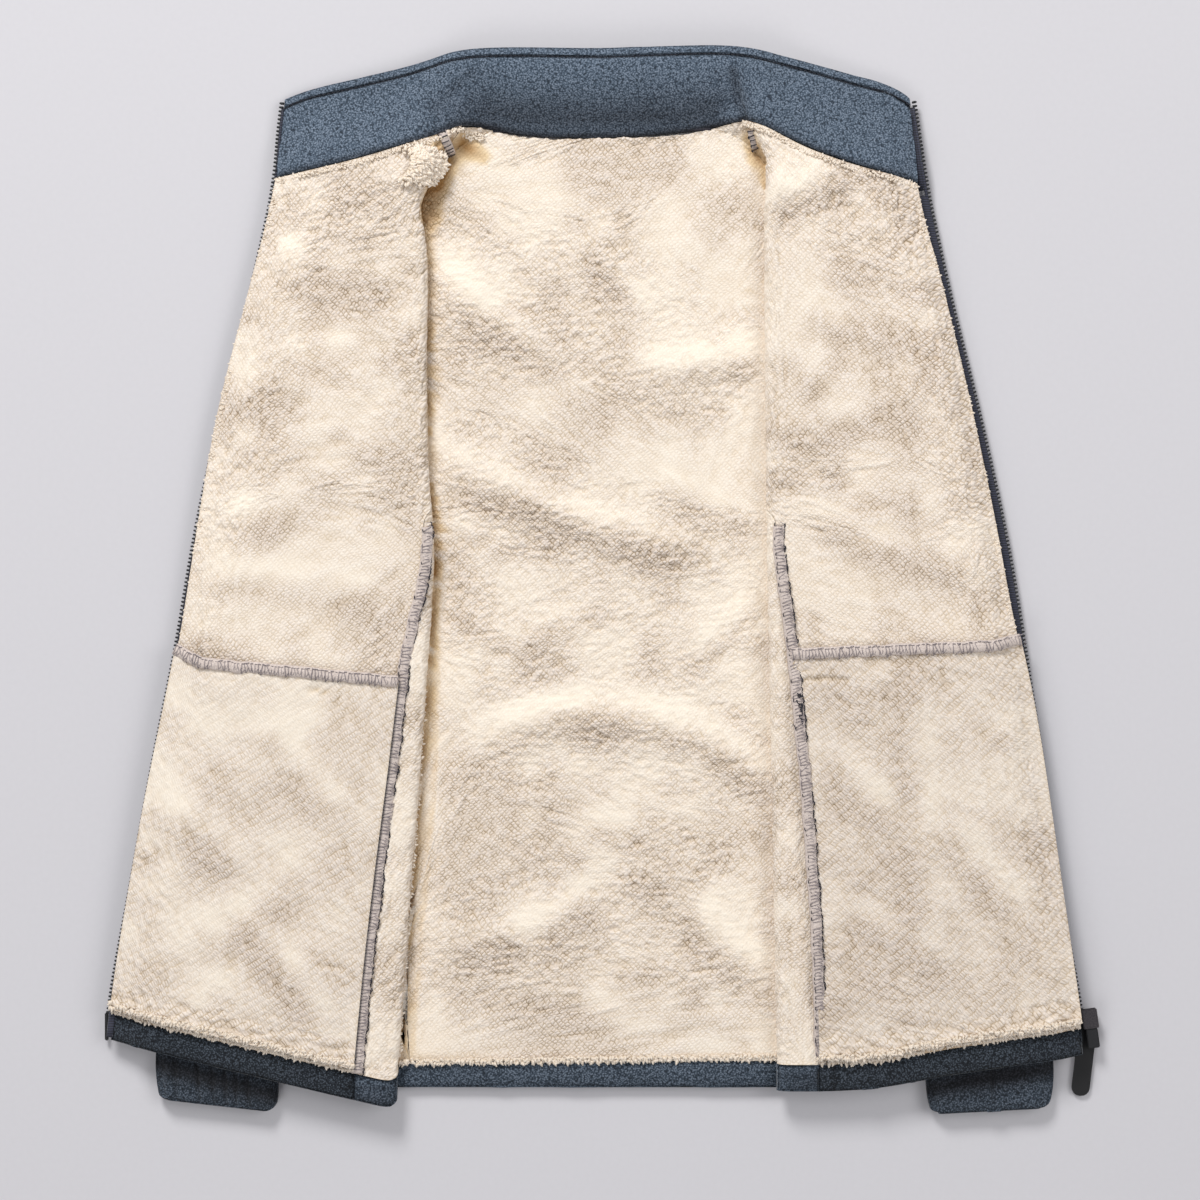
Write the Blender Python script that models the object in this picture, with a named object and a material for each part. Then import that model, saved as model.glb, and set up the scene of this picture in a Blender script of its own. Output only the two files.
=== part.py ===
"""Zip-up fleece jacket lined with curly pile, laid open on its back.

The jacket rests on the plane z = 0 with its collar towards +Y and its lining up.
The origin is under the middle of the back. Sides are the wearer's own: the right
side lies at -X and the left side at +X. Sizes are in millimetres until a mesh is
made from them.

Every body panel is a stretch of one path of cloth, worked out for each level y:
out along the ground from the middle of the back, round a hidden turn, back in to
the fold that shows, round it, and out again on top to the zip.
"""

import math
from collections import namedtuple

import bmesh
import bpy
from mathutils import Matrix, Vector

MM = 0.001

# Cloth, from its smooth face to the tips of its pile
CLOTH = 6.5
FLEECE = 3.0
POCKET_CLOTH = 4.2
SLEEVE_CLOTH = 6.0
CUFF_CLOTH = 4.4
HEM_THICKNESS = 6.5
SEAM_GAP = 0.3
POCKET_GAP = 0.5
COLLAR_GAP = 0.8
ARMHOLE_GAP = 0.8

# How far the pile is pressed together inside a fold, and where all folds meet
FOLD_SQUEEZE = 0.12
CORNER_SQUEEZE = 0.26

# Layers that lie on each other
LAYER = 7.3
GROUND_LAYER = CLOTH / 2
MIDDLE_LAYER = GROUND_LAYER + LAYER
TOP_LAYER = MIDDLE_LAYER + LAYER
SLEEVE_HEIGHT = 13.8
CUFF_HEIGHT = 12.6
EDGE_HEIGHT = 9.0
SLIDER_LIFT = 4.4

# Levels of the body, from the neck seam down to the hem band
NECK = 340.0
HEM_TOP = -333.0
HEM_DEPTH = 19.0
POCKET_TOP = -16

# Zip
TAPE_THICKNESS = 1.1
TAPE_UNDER_CLOTH = 8.0
CHAIN_WIDTH = 4.2
CHAIN_THICKNESS = 2.6
CHAIN_DROP = 4.9
TAPE_DROP = 4.15

# Collar
COLLAR_SPACING = 3.5
BINDING = 7.0
COLLAR_SHARES = (0.0, 0.06, 0.2, 0.36, 0.53, 0.7)

# Stations along the path of cloth, from the middle of the back to the zip
GROUND_END = 7
TURN_MIDDLE = 9
TURN_END = 11
FOLD_START = 13
FOLD_MIDDLE = 15
FOLD_END = 17
TOP_SEAM = 19
LEVEL_STEPS = 4
SLOPE_STEPS = 3
GROUND_SHARES = (0.0, 0.2, 0.4, 0.6, 0.8, 1.0)
RAMP_SHARES = (0.3, 0.6, 0.68, 0.74, 0.79, 0.84, 0.88, 0.92, 0.96, 1.0)
SLOPE_ROOM = 2.0
OPEN = -1

UP = Vector((0.0, 0.0, 1.0))

Level = namedtuple("Level", "y fold under seam")
Edge = namedtuple("Edge", "y zip tape")
Share = namedtuple("Share", "at drop")
Point = namedtuple("Point", "at normal")
Seam = namedtuple("Seam", "y station")
Ring = namedtuple("Ring", "outer_x outer_y inner_x inner_y")
Crease = namedtuple("Crease", "x0 y0 x1 y1 bow width height")
Stand = namedtuple("Stand", "x top_x top_y top_z")

# fold: the fold that shows; under: the hidden turn or the armhole;
# seam: how far beyond the fold the side seam lies on top
RIGHT_LEVELS = (
    Level(340, 108.0, 78.0, 14.0),
    Level(333, 109.5, 93.5, 14.0),
    Level(326, 111.0, 103.0, 14.0),
    Level(319, 112.5, 110.5, 14.0),
    Level(312, 115.0, 119.0, 14.0),
    Level(305, 118.5, 129.5, 14.0),
    Level(298, 122.5, 142.0, 14.0),
    Level(291, 125.5, 157.0, 14.0),
    Level(284, 127.5, 173.0, 14.0),
    Level(277, 127.5, 188.5, 14.0),
    Level(270, 126.0, 201.0, 14.0),
    Level(264, 125.0, 203.5, 14.0),
    Level(240, 122.5, 198.0, 14.0),
    Level(184, 123.5, 189.0, 14.0),
    Level(128, 123.0, 185.0, 14.0),
    Level(88, 122.0, 184.0, 14.0),
    Level(60, 119.5, 187.0, 8.0),
    Level(29, 117.5, 190.5, 9.5),
    Level(-35, 122.0, 197.3, 18.5),
    Level(-121, 128.0, 206.4, 23.5),
    Level(-207, 135.0, 215.5, 28.0),
    Level(-273, 140.0, 222.4, 31.0),
    Level(-333, 144.0, 228.8, 32.5),
    Level(-355, 145.0, 228.8, 32.5),
)
LEFT_LEVELS = (
    Level(340, 112.0, 82.0, 14.0),
    Level(333, 113.5, 97.5, 14.0),
    Level(326, 114.5, 106.5, 14.0),
    Level(319, 115.5, 113.5, 14.0),
    Level(312, 116.5, 120.5, 14.0),
    Level(305, 117.0, 128.5, 14.0),
    Level(298, 117.0, 139.0, 14.0),
    Level(291, 117.0, 152.0, 14.0),
    Level(284, 117.0, 170.0, 14.0),
    Level(277, 117.0, 187.5, 14.0),
    Level(270, 117.0, 201.0, 14.0),
    Level(264, 117.0, 203.5, 14.0),
    Level(240, 117.0, 198.0, 14.0),
    Level(184, 117.5, 189.0, 14.0),
    Level(128, 118.0, 185.0, 14.0),
    Level(88, 118.5, 184.0, 14.0),
    Level(60, 118.8, 187.0, 8.0),
    Level(29, 119.0, 190.5, 9.0),
    Level(-35, 120.0, 197.3, 16.5),
    Level(-121, 122.0, 206.4, 23.0),
    Level(-207, 123.5, 215.5, 28.5),
    Level(-273, 125.0, 222.4, 30.5),
    Level(-333, 126.0, 228.8, 31.0),
    Level(-355, 126.0, 228.8, 31.0),
)

# zip: outer line of the teeth; tape: how much of the zip shows past the cloth
RIGHT_EDGE = (
    Edge(372, 231.0, 5.0),
    Edge(340, 234.7, 5.0),
    Edge(304, 238.0, 5.0),
    Edge(224, 255.0, 3.0),
    Edge(138, 276.0, 1.6),
    Edge(52, 294.5, 5.0),
    Edge(-35, 309.5, 6.0),
    Edge(-121, 326.5, 5.0),
    Edge(-207, 342.0, 4.6),
    Edge(-298, 358.0, 6.5),
    Edge(-330, 358.0, 6.5),
)
LEFT_EDGE = (
    Edge(372, 228.0, 5.0),
    Edge(340, 232.6, 5.0),
    Edge(304, 238.0, 11.0),
    Edge(224, 255.0, 8.5),
    Edge(138, 276.0, 9.0),
    Edge(52, 295.0, 10.0),
    Edge(-12, 306.2, 9.5),
    Edge(-63, 314.0, 5.5),
    Edge(-121, 323.0, 4.5),
    Edge(-207, 334.0, 3.0),
    Edge(-298, 350.0, 5.5),
    Edge(-330, 353.0, 5.5),
)

# How far the neck seam and the hem run down or up across a front
RIGHT_NECK = (
    Share(0.0, 0.0),
    Share(0.08, -3.0),
    Share(0.17, -6.0),
    Share(0.35, -13.0),
    Share(0.6, -21.0),
    Share(0.87, -28.3),
    Share(1.0, -31.0),
)
LEFT_NECK = (
    Share(0.0, 0.0),
    Share(0.08, -4.5),
    Share(0.22, -13.0),
    Share(0.4, -21.0),
    Share(0.58, -27.5),
    Share(0.85, -35.0),
    Share(1.0, -40.0),
)
RIGHT_HEM = (Share(0.0, -13.0), Share(0.5, 10.5), Share(1.0, 35.0))
LEFT_HEM = (
    Share(0.0, -1.0),
    Share(0.27, -0.5),
    Share(0.36, 2.0),
    Share(0.5, 9.0),
    Share(0.9, 21.0),
    Share(1.0, 25.0),
)

# Rise of the back's own neckline towards its corner, by distance from the middle
RIGHT_BACK_NECK = (
    Share(0, -6.6),
    Share(32, -7.2),
    Share(65, -4.0),
    Share(88, 1.2),
    Share(104, 0.6),
    Share(115, -5.0),
)
LEFT_BACK_NECK = (
    Share(0, -6.6),
    Share(43, -5.2),
    Share(72, -1.6),
    Share(96, 4.0),
    Share(107, 4.6),
    Share(119, 0.0),
)

# The station that carries the seam between back and front
SEAM = (
    Seam(340, TURN_MIDDLE),
    Seam(270, TURN_MIDDLE),
    Seam(264, OPEN),
    Seam(104, OPEN),
    Seam(88, TURN_MIDDLE),
    Seam(84, TURN_MIDDLE + 1),
    Seam(80, TURN_END),
    Seam(72, FOLD_START),
    Seam(69, FOLD_START + 1),
    Seam(66, FOLD_MIDDLE),
    Seam(63, FOLD_MIDDLE + 1),
    Seam(60, FOLD_END),
    Seam(54, TOP_SEAM),
    Seam(-400, TOP_SEAM),
)

RIGHT_SLEEVE = (
    Ring(208.0, 263.0, 185.8, 90.5),
    Ring(229.5, 240.0, 189.8, 62.0),
    Ring(246.0, 170.0, 193.2, 30.0),
    Ring(260.0, 90.0, 198.0, -15.0),
    Ring(274.0, 10.0, 204.3, -75.0),
    Ring(290.0, -90.0, 213.5, -162.0),
    Ring(305.0, -190.0, 221.9, -242.0),
    Ring(316.0, -270.0, 228.0, -300.0),
    Ring(320.0, -318.0, 231.4, -336.0),
)
LEFT_SLEEVE = RIGHT_SLEEVE[:6] + (
    Ring(303.0, -190.0, 221.9, -242.0),
    Ring(318.0, -275.0, 228.4, -304.0),
    Ring(327.0, -322.0, 233.0, -336.0),
)
RIGHT_CUFF = (
    Ring(320.4, -318.4, 231.8, -336.4),
    Ring(322.0, -332.0, 231.6, -347.0),
    Ring(321.0, -348.0, 231.0, -359.0),
    Ring(318.5, -360.0, 234.5, -369.5),
)
LEFT_CUFF = (
    Ring(327.4, -322.4, 233.4, -336.4),
    Ring(328.5, -338.0, 234.5, -348.0),
    Ring(328.0, -354.0, 235.5, -361.0),
    Ring(324.5, -366.5, 239.0, -371.0),
)

# Main folds of the laid cloth: ends, sideways bow, half width and height
BACK_CREASES = (
    Crease(-74, -98, 106, -122, 24, 12, 5.0),
    Crease(-118, 110, 66, 34, -10, 12, 4.6),
    Crease(-116, 243, -46, 183, -4, 11, 4.2),
    Crease(32, 163, 112, 178, 0, 11, 3.6),
    Crease(-108, -247, -8, -212, -9, 11, 3.2),
    Crease(29, -190, 112, -268, 5, 12, 2.6),
    Crease(-62, -46, -22, -16, 0, 7, 1.8),
    Crease(68, -40, 106, 0, 0, 8, 1.8),
    Crease(-104, -5, -62, -30, 0, 9, 2.0),
    Crease(-12, 258, 30, 214, 0, 8, 1.8),
)
RIGHT_CREASES = (
    Crease(-118, 318, -150, 300, 0, 14, 2.5),
    Crease(-315, -142, -258, -182, 0, 12, 2.2),
    Crease(-252, -228, -196, -296, 0, 12, 1.8),
)
LEFT_CREASES = (
    Crease(118, 296, 170, 312, 0, 11, 4.0),
    Crease(230, -66, 233, -245, 0, 12, 1.8),
)
COLLAR_CREASES = (
    Crease(-118, 352, -90, 374, 0, 5, -2.6),
    Crease(103, 340, 92, 376, 0, 4, -3.4),
    Crease(-80, 356, 70, 358, 0, 8, 1.2),
)

# The collar along its length: its foot on the neck seam and its top edge
COLLAR = (
    Stand(-232.0, -227.5, 362.0, 5.2),
    Stand(-216.0, -211.0, 369.0, 5.6),
    Stand(-184.0, -176.0, 376.6, 6.5),
    Stand(-151.0, -140.0, 384.5, 9.0),
    Stand(-130.0, -122.0, 389.5, 13.0),
    Stand(-121.0, -114.0, 392.0, 15.5),
    Stand(-115.0, -109.0, 393.6, 17.0),
    Stand(-108.0, -102.0, 395.0, 18.2),
    Stand(-99.0, -94.0, 396.1, 19.0),
    Stand(-88.0, -84.5, 396.8, 19.5),
    Stand(-65.0, -65.0, 397.4, 20.0),
    Stand(-32.0, -33.0, 397.0, 20.0),
    Stand(0.0, 0.0, 396.4, 20.0),
    Stand(36.0, 38.0, 397.8, 20.0),
    Stand(72.0, 75.0, 398.9, 20.0),
    Stand(86.0, 87.5, 398.7, 19.6),
    Stand(96.0, 96.5, 398.3, 19.0),
    Stand(107.0, 106.5, 397.2, 18.2),
    Stand(113.0, 112.0, 396.3, 17.4),
    Stand(119.0, 118.0, 395.1, 16.2),
    Stand(130.0, 130.0, 392.5, 13.5),
    Stand(151.0, 150.0, 388.0, 10.0),
    Stand(184.0, 184.0, 378.7, 7.0),
    Stand(212.0, 208.0, 373.0, 5.8),
    Stand(228.0, 223.5, 364.0, 5.4),
)

Pocket = namedtuple("Pocket", "at_seam at_zip")
Side = namedtuple(
    "Side", "name sign levels edge neck hem back_neck sleeve cuff creases lift pocket"
)
RIGHT = Side(
    "right", -1, RIGHT_LEVELS, RIGHT_EDGE, RIGHT_NECK, RIGHT_HEM, RIGHT_BACK_NECK,
    RIGHT_SLEEVE, RIGHT_CUFF, RIGHT_CREASES, 0.0, Pocket(-59.0, -36.0),
)
LEFT = Side(
    "left", 1, LEFT_LEVELS, LEFT_EDGE, LEFT_NECK, LEFT_HEM, LEFT_BACK_NECK,
    LEFT_SLEEVE, LEFT_CUFF, LEFT_CREASES, SLIDER_LIFT, Pocket(-39.0, -29.0),
)
SIDES = (RIGHT, LEFT)

# Levels at which the panels are worked out; the back's middle has one more
# between each two of them where its folds lie
PANEL_LEVELS = (
    340, 333, 326, 319, 312, 305, 298, 291, 284, 277, 270, 264, 240, 212, 184, 156, 128,
    104, 88, 84, 80, 72, 69, 66, 63, 60, 54, 40, 12, -16, -44, -72, -100, -128, -156, -184, -212,
    -240, -268, -296, -318, -333,
)
HALF_STEP_FROM = 20
HEM_LEVELS = (HEM_TOP - HEM_DEPTH * 0.5, HEM_TOP - HEM_DEPTH)

# Slider, pull tab, box and pin
SLIDER_AT = (353.5, -302.0)
SLIDER_TURN = math.radians(8.0)
SLIDER_WIDTH = 11.0
SLIDER_LENGTH = 14.0
PLATE_THICKNESS = 1.4
PLATE_SPACING = 3.4
BRIDGE_WIDTH = 2.6
BRIDGE_LENGTH = 9.6
BRIDGE_THICKNESS = 1.0
BRIDGE_REACH = 3.2
BAR_LENGTH = 1.8
TAB_LENGTH = 58.0
TAB_WIDTH = 13.0
TAB_THICKNESS = 1.6
TAB_TURN = math.radians(-6.5)
TAB_DIP = math.radians(2.0)
TAB_HOLE_LENGTH = 6.6
TAB_HOLE_WIDTH = 5.8
BOX_SIZE = (8.5, 14.0, 5.0)
PIN_SIZE = (2.6, 20.0, 2.6)
PIN_AT = (356.6, -308.35)

MATERIALS = {
    "pile": ((0.83, 0.73, 0.58), 0.95, 0.0),
    "pocket_pile": ((0.82, 0.74, 0.60), 0.9, 0.0),
    "fleece": ((0.085, 0.135, 0.19), 0.95, 0.0),
    "zip_tape": ((0.025, 0.03, 0.045), 0.8, 0.0),
    "zip_teeth": ((0.012, 0.012, 0.015), 0.45, 0.0),
    "gunmetal": ((0.16, 0.14, 0.13), 0.35, 0.9),
    "pull_rubber": ((0.015, 0.016, 0.02), 0.5, 0.0),
}


def smooth(t):
    """Ease from 0 to 1 as t goes from 0 to 1."""
    t = min(max(t, 0.0), 1.0)
    return t * t * (3.0 - 2.0 * t)


def mix(a, b, t):
    return a + (b - a) * t


def read(rows, key, column, at):
    """The column's value where the key column has the value at, on a smooth curve."""
    keys = [getattr(row, key) for row in rows]
    values = [getattr(row, column) for row in rows]
    if keys[0] > keys[-1]:
        keys.reverse()
        values.reverse()
    if at <= keys[0]:
        return values[0]
    if at >= keys[-1]:
        return values[-1]
    i = next(n for n in range(len(keys) - 1) if at <= keys[n + 1])
    slopes = []
    for n in (i, i + 1):
        before, after = max(n - 1, 0), min(n + 1, len(keys) - 1)
        slopes.append((values[after] - values[before]) / (keys[after] - keys[before]))
    span = keys[i + 1] - keys[i]
    t = (at - keys[i]) / span
    start = (2 * t**3 - 3 * t**2 + 1) * values[i] + (t**3 - 2 * t**2 + t) * span * slopes[0]
    end = (3 * t**2 - 2 * t**3) * values[i + 1] + (t**3 - t**2) * span * slopes[1]
    return start + end


def relief(creases, x, y):
    """Height of the soft folds at a point."""
    total = 0.0
    for c in creases:
        dx, dy = c.x1 - c.x0, c.y1 - c.y0
        length = math.hypot(dx, dy)
        along = ((x - c.x0) * dx + (y - c.y0) * dy) / length**2
        across = ((y - c.y0) * dx - (x - c.x0) * dy) / length
        across -= c.bow * 4.0 * along * (1.0 - along)
        ends = smooth(along / 0.25 + 0.5) * smooth((1.0 - along) / 0.25 + 0.5)
        total += c.height * ends * math.exp(-((across / c.width) ** 2))
    return total


def cloth_edge(side, y):
    """Distance of a front's cloth edge from the middle."""
    return read(side.edge, "y", "zip", y) - read(side.edge, "y", "tape", y)


def edge_height(side, y):
    """Height of a front's edge: it lifts where the slider lies under it."""
    return EDGE_HEIGHT + side.lift * smooth((-190.0 - y) / 80.0)


def slope_start(side, y):
    """Where a front leaves the sleeve under it and slopes down to the zip."""
    sleeve = read(side.sleeve, "outer_y", "outer_x", y)
    return min(sleeve - SLOPE_ROOM, cloth_edge(side, y) - 16.0)


def top_height(side, x, y):
    """Middle of the top layer: level over the sleeve, lower at the zip."""
    edge = cloth_edge(side, y)
    t = (edge - x) / (edge - slope_start(side, y))
    low = edge_height(side, y)
    height = mix(low, TOP_LAYER, smooth(t))
    return height + relief(side.creases, side.sign * x, y) * smooth(t * 1.5)


def ground_height(x, y, fold):
    """Middle of the ground layer: soft folds between the two folds that show."""
    return GROUND_LAYER + relief(BACK_CREASES, x, y) * smooth((fold - 3.0 - abs(x)) / 20.0)


def back_neck(side, x, level):
    """Rise of the back's neckline at a distance from the middle, gone lower down."""
    return read(side.back_neck, "at", "drop", x) * smooth((level - 270.0) / 70.0)


def corner_drop(side, level):
    return back_neck(side, side.back_neck[-1].at, level)


def flap_shift(side, share, level):
    """How far a point on top is moved along y from its level."""
    neck = smooth((level - 190.0) / 150.0)
    hem = smooth((-150.0 - level) / 175.0)
    shift = read(side.neck, "at", "drop", share) * neck
    return shift + corner_drop(side, level) + read(side.hem, "at", "drop", share) * hem


def turn(centre_x, centre_z, radius, reach, steps):
    """Points of a half turn that goes up and reaches out to one side."""
    points = []
    for n in range(steps + 1):
        angle = math.pi * n / steps - math.pi / 2
        points.append((centre_x + reach * math.cos(angle), centre_z + radius * math.sin(angle)))
    return points


def seam_station(level):
    return next(seam.station for seam in reversed(SEAM) if seam.y >= level)


def path_of_cloth(side, level):
    """Points of the cloth's middle at one level, x counted outwards."""
    fold = read(side.levels, "y", "fold", level)
    under = read(side.levels, "y", "under", level)
    half = CLOTH / 2
    open_edge = seam_station(level) == OPEN
    radius = LAYER / 2
    fold_x = fold + half + radius
    zigzag = smooth((under - fold + 12.0) / 26.0)
    run = (read(side.levels, "y", "under", level - 2.0) - under) / 2.0
    room = (under - fold_x) / (half + radius)
    stretch = min(max(min(math.hypot(run, 1.0), room), 1.0), 3.0)
    turn_x = max(under, fold + 14.0) - (half + radius) * stretch
    ground_end = under - ARMHOLE_GAP if open_edge else mix(under, turn_x, zigzag)

    points = []
    inner = min(fold - 3.0, ground_end - 3.0)
    stations = [share * inner for share in GROUND_SHARES]
    stations += [mix(inner, ground_end, 0.5), ground_end]
    for x in stations:
        y = level + back_neck(side, x, level)
        points.append((x, y, ground_height(side.sign * x, y, fold)))

    top_z = top_height(side, fold_x, level + corner_drop(side, level))
    fold_radius = (top_z - MIDDLE_LAYER) / 2
    fold_end = fold + half + fold_radius
    outer = turn(turn_x, GROUND_LAYER + radius, radius, radius * stretch, TURN_END - GROUND_END)
    inner_turn = turn(fold_end, MIDDLE_LAYER + fold_radius, fold_radius, -fold_radius,
                      FOLD_END - FOLD_START)
    if open_edge:
        outer[-1] = (under - ARMHOLE_GAP, MIDDLE_LAYER)
    middle = ((outer[-1][0] + inner_turn[0][0]) / 2, MIDDLE_LAYER)
    folded = outer[1:] + [middle] + inner_turn
    count = len(folded)
    for n, ((x, z), share) in enumerate(zip(folded, RAMP_SHARES), 1):
        ramp_x = mix(ground_end, fold_end, share)
        ramp_z = mix(GROUND_LAYER, top_z, smooth(share))
        hem = side.hem[0].drop * smooth((-150.0 - level) / 175.0)
        bend = max(n - (count - 4), 0) / 4
        x = mix(ramp_x, x, zigzag)
        y = level + back_neck(side, x, level) + hem * bend
        points.append((x, y, mix(ramp_z, z, zigzag)))

    seam = fold + max(read(side.levels, "y", "seam", level), half + fold_radius + 1.0)
    start = points[-1][0]
    on_top = [mix(start, seam, 0.5), seam]
    y_edge = level + flap_shift(side, 1.0, level)
    edge = cloth_edge(side, y_edge)
    slope = slope_start(side, y_edge)
    for _ in range(4):
        share = (slope - start) / (edge - start)
        slope = slope_start(side, level + flap_shift(side, share, level))
    on_top += [mix(seam, slope, (n + 1) / LEVEL_STEPS) for n in range(LEVEL_STEPS)]
    on_top += [mix(slope, edge, (n + 1) / SLOPE_STEPS) for n in range(SLOPE_STEPS)]
    for x in on_top:
        y = level + flap_shift(side, (x - start) / (edge - start), level)
        points.append((x, y, top_height(side, x, y)))
    return [Vector(point) for point in points]


def clear_old_objects():
    for thing in list(bpy.data.objects):
        bpy.data.objects.remove(thing, do_unlink=True)


def material(name):
    found = bpy.data.materials.get(name)
    if found:
        return found
    color, roughness, metallic = MATERIALS[name]
    made = bpy.data.materials.new(name)
    made.use_nodes = True
    shader = made.node_tree.nodes["Principled BSDF"]
    shader.inputs["Base Color"].default_value = (*color, 1.0)
    shader.inputs["Roughness"].default_value = roughness
    shader.inputs["Metallic"].default_value = metallic
    made.diffuse_color = (*color, 1.0)
    return made


def add_object(name, mesh, finish):
    thing = bpy.data.objects.new(name, mesh)
    bpy.context.collection.objects.link(thing)
    mesh.materials.append(material(finish))
    return thing


def rim_order(point):
    """Sets which way a rim is split, the same on both pieces that meet at a seam."""
    return point.at.y + point.at.x * 0.1 + point.at.z * 0.3


def cloth(name, rows, thickness, finish, wrap=False):
    """A wall of cloth whose middle runs through rows of points; points that meet are one."""
    known = {}
    points = []
    grid = []
    for row in rows:
        line = []
        for point in row:
            key = tuple(round(value, 3) for value in point.at)
            if key not in known:
                known[key] = len(points)
                points.append(point)
            line.append(known[key])
        grid.append(line)
    faces = []
    columns = len(grid[0])
    for upper, lower in zip(grid, grid[1:]):
        for n in range(columns if wrap else columns - 1):
            m = (n + 1) % columns
            around = (upper[n], lower[n], lower[m], upper[m])
            corners = [corner for k, corner in enumerate(around) if corner not in around[:k]]
            if len(corners) > 3:
                faces.append([corners[0], corners[2], corners[3]])
            if len(corners) > 2:
                faces.append(corners[:3])
    sides = {(a, b) for face in faces for a, b in zip(face, face[1:] + face[:1])}
    edges = [(a, b) for a, b in sides if (b, a) not in sides]
    count = len(points)
    below = [[count + corner for corner in reversed(face)] for face in faces]
    rim = []
    for a, b in edges:
        if rim_order(points[a]) > rim_order(points[b]):
            rim += [(b, a, count + b), (a, count + a, count + b)]
        else:
            rim += [(b, a, count + a), (b, count + a, count + b)]
    half = thickness / 2
    upper = [(point.at + point.normal * half) * MM for point in points]
    lower = [(point.at - point.normal * half) * MM for point in points]
    mesh = bpy.data.meshes.new(name)
    mesh.from_pydata(upper + lower, [], faces + below + rim)
    return finished(mesh, name, finish)


def finished(mesh, name, finish):
    """An object of a closed mesh, with its faces turned outwards."""
    bm = bmesh.new()
    bm.from_mesh(mesh)
    bmesh.ops.recalc_face_normals(bm, faces=bm.faces)
    bm.to_mesh(mesh)
    bm.free()
    mesh.shade_smooth()
    mesh.set_sharp_from_angle(angle=math.radians(50))
    return add_object(name, mesh, finish)


def placed(side, point, out=0.0):
    """A point of one side, set on that side of the middle."""
    x, y, z = point.at
    at = Vector((side.sign * (x + out), y, z))
    return Point(at, Vector((side.sign * point.normal.x, *point.normal.yz)))


def all_levels():
    """Every level of the surfaces, each with the row its outer stations are taken from."""
    levels = []
    rows = []
    for n, level in enumerate(PANEL_LEVELS):
        if n and PANEL_LEVELS[n - 1] - level > HALF_STEP_FROM:
            rows.append(len(levels) - 1)
            levels.append(mix(PANEL_LEVELS[n - 1], level, 0.5))
        rows.append(len(levels))
        levels.append(level)
    return levels + list(HEM_LEVELS), rows


LEVELS, OUTER_ROWS = all_levels()
HEM_ROW = len(OUTER_ROWS) - 1


def squeeze(level, station):
    """Share of the cloth's thickness that is left inside its folds."""
    bend = max(1.0 - abs(station - TURN_MIDDLE) / 2, 1.0 - abs(station - FOLD_MIDDLE) / 2, 0.0)
    folded = GROUND_END < station <= FOLD_END
    corner = smooth((340.0 - level) / 14.0) * smooth((level - 276.0) / 16.0) if folded else 0.0
    return 1.0 - FOLD_SQUEEZE * smooth(bend) - CORNER_SQUEEZE * corner


def surface(side):
    """One side's points at every level and station, with the normals of the lining."""
    grid = [path_of_cloth(side, level) for level in LEVELS]
    rows = []
    for r, row in enumerate(grid):
        above, below = grid[max(r - 1, 0)], grid[min(r + 1, len(grid) - 1)]
        open_row = seam_station(LEVELS[r]) == OPEN
        line = []
        for c, point in enumerate(row):
            before = c if open_row and c == TURN_END else max(c - 1, 0)
            after = c if open_row and c == GROUND_END else min(c + 1, len(row) - 1)
            normal = (below[c] - above[c]).cross(row[after] - row[before])
            if r == 0:
                normal.y = 0.0
            line.append(Point(point, normal.normalized() * squeeze(LEVELS[r], c)))
        rows.append(line)
    return rows


def half_gaps(line):
    """Half a seam's gap across it at each of its points, to the left of its run."""
    moves = []
    for n, point in enumerate(line):
        along = line[min(n + 1, len(line) - 1)].at - line[max(n - 1, 0)].at
        moves.append(point.normal.cross(along).normalized() * SEAM_GAP / 2)
    return moves


def seam_gaps(rows):
    """Half gaps of the seam between back and front, towards the front, by row."""
    gaps = {}
    run = []
    for r, level in enumerate(LEVELS):
        if seam_station(level) != OPEN:
            run.append(r)
        if run and (seam_station(level) == OPEN or r == len(LEVELS) - 1):
            line = [rows[n][seam_station(LEVELS[n])] for n in run]
            gaps.update(zip(run, half_gaps(line)))
            run = []
    return gaps


SURFACES = {side.name: surface(side) for side in SIDES}
SEAM_GAPS = {side.name: seam_gaps(SURFACES[side.name]) for side in SIDES}
HEM_GAPS = {side.name: half_gaps(SURFACES[side.name][HEM_ROW]) for side in SIDES}


def body_row(side, r, first, last, front, panel):
    """A row's points from one station to another, drawn off the seams at its ends."""
    points = []
    for c in range(first, last + 1):
        at, normal = SURFACES[side.name][r][c]
        if c == seam_station(LEVELS[r]):
            at = at + SEAM_GAPS[side.name][r] * (1 if front else -1)
        if r == HEM_ROW:
            at = at + HEM_GAPS[side.name][c] * (1 if panel else -1)
        points.append(placed(side, Point(at, normal)))
    return points


def back_side(side, r, panel):
    """One side's share of the back at a row, up to its seam."""
    station = seam_station(LEVELS[r])
    last = GROUND_END if station == OPEN else station
    points = body_row(side, r, 0, last, False, panel)
    return points + [points[-1]] * (TOP_SEAM - last)


def make_back():
    rows = []
    for r, outer in enumerate(OUTER_ROWS):
        row = []
        for side in SIDES:
            points = back_side(side, r, True)[:GROUND_END - 1]
            points += back_side(side, outer, True)[GROUND_END - 1:]
            row = list(reversed(points)) if side is RIGHT else row + points[1:]
        rows.append(row)
    return cloth("back", rows, CLOTH, "pile")


def make_front(side):
    rows = []
    end = len(SURFACES[side.name][0]) - 1
    for r in sorted(set(OUTER_ROWS)):
        station = seam_station(LEVELS[r])
        first = TURN_END if station == OPEN else station
        points = body_row(side, r, first, end, True, True)
        rows.append([points[0]] * (first - TURN_MIDDLE) + points)
    return cloth("front_" + side.name, rows, CLOTH, "pile")


def between(one, other, t):
    return Point(one.at.lerp(other.at, t), one.normal.lerp(other.normal, t).normalized())


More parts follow.
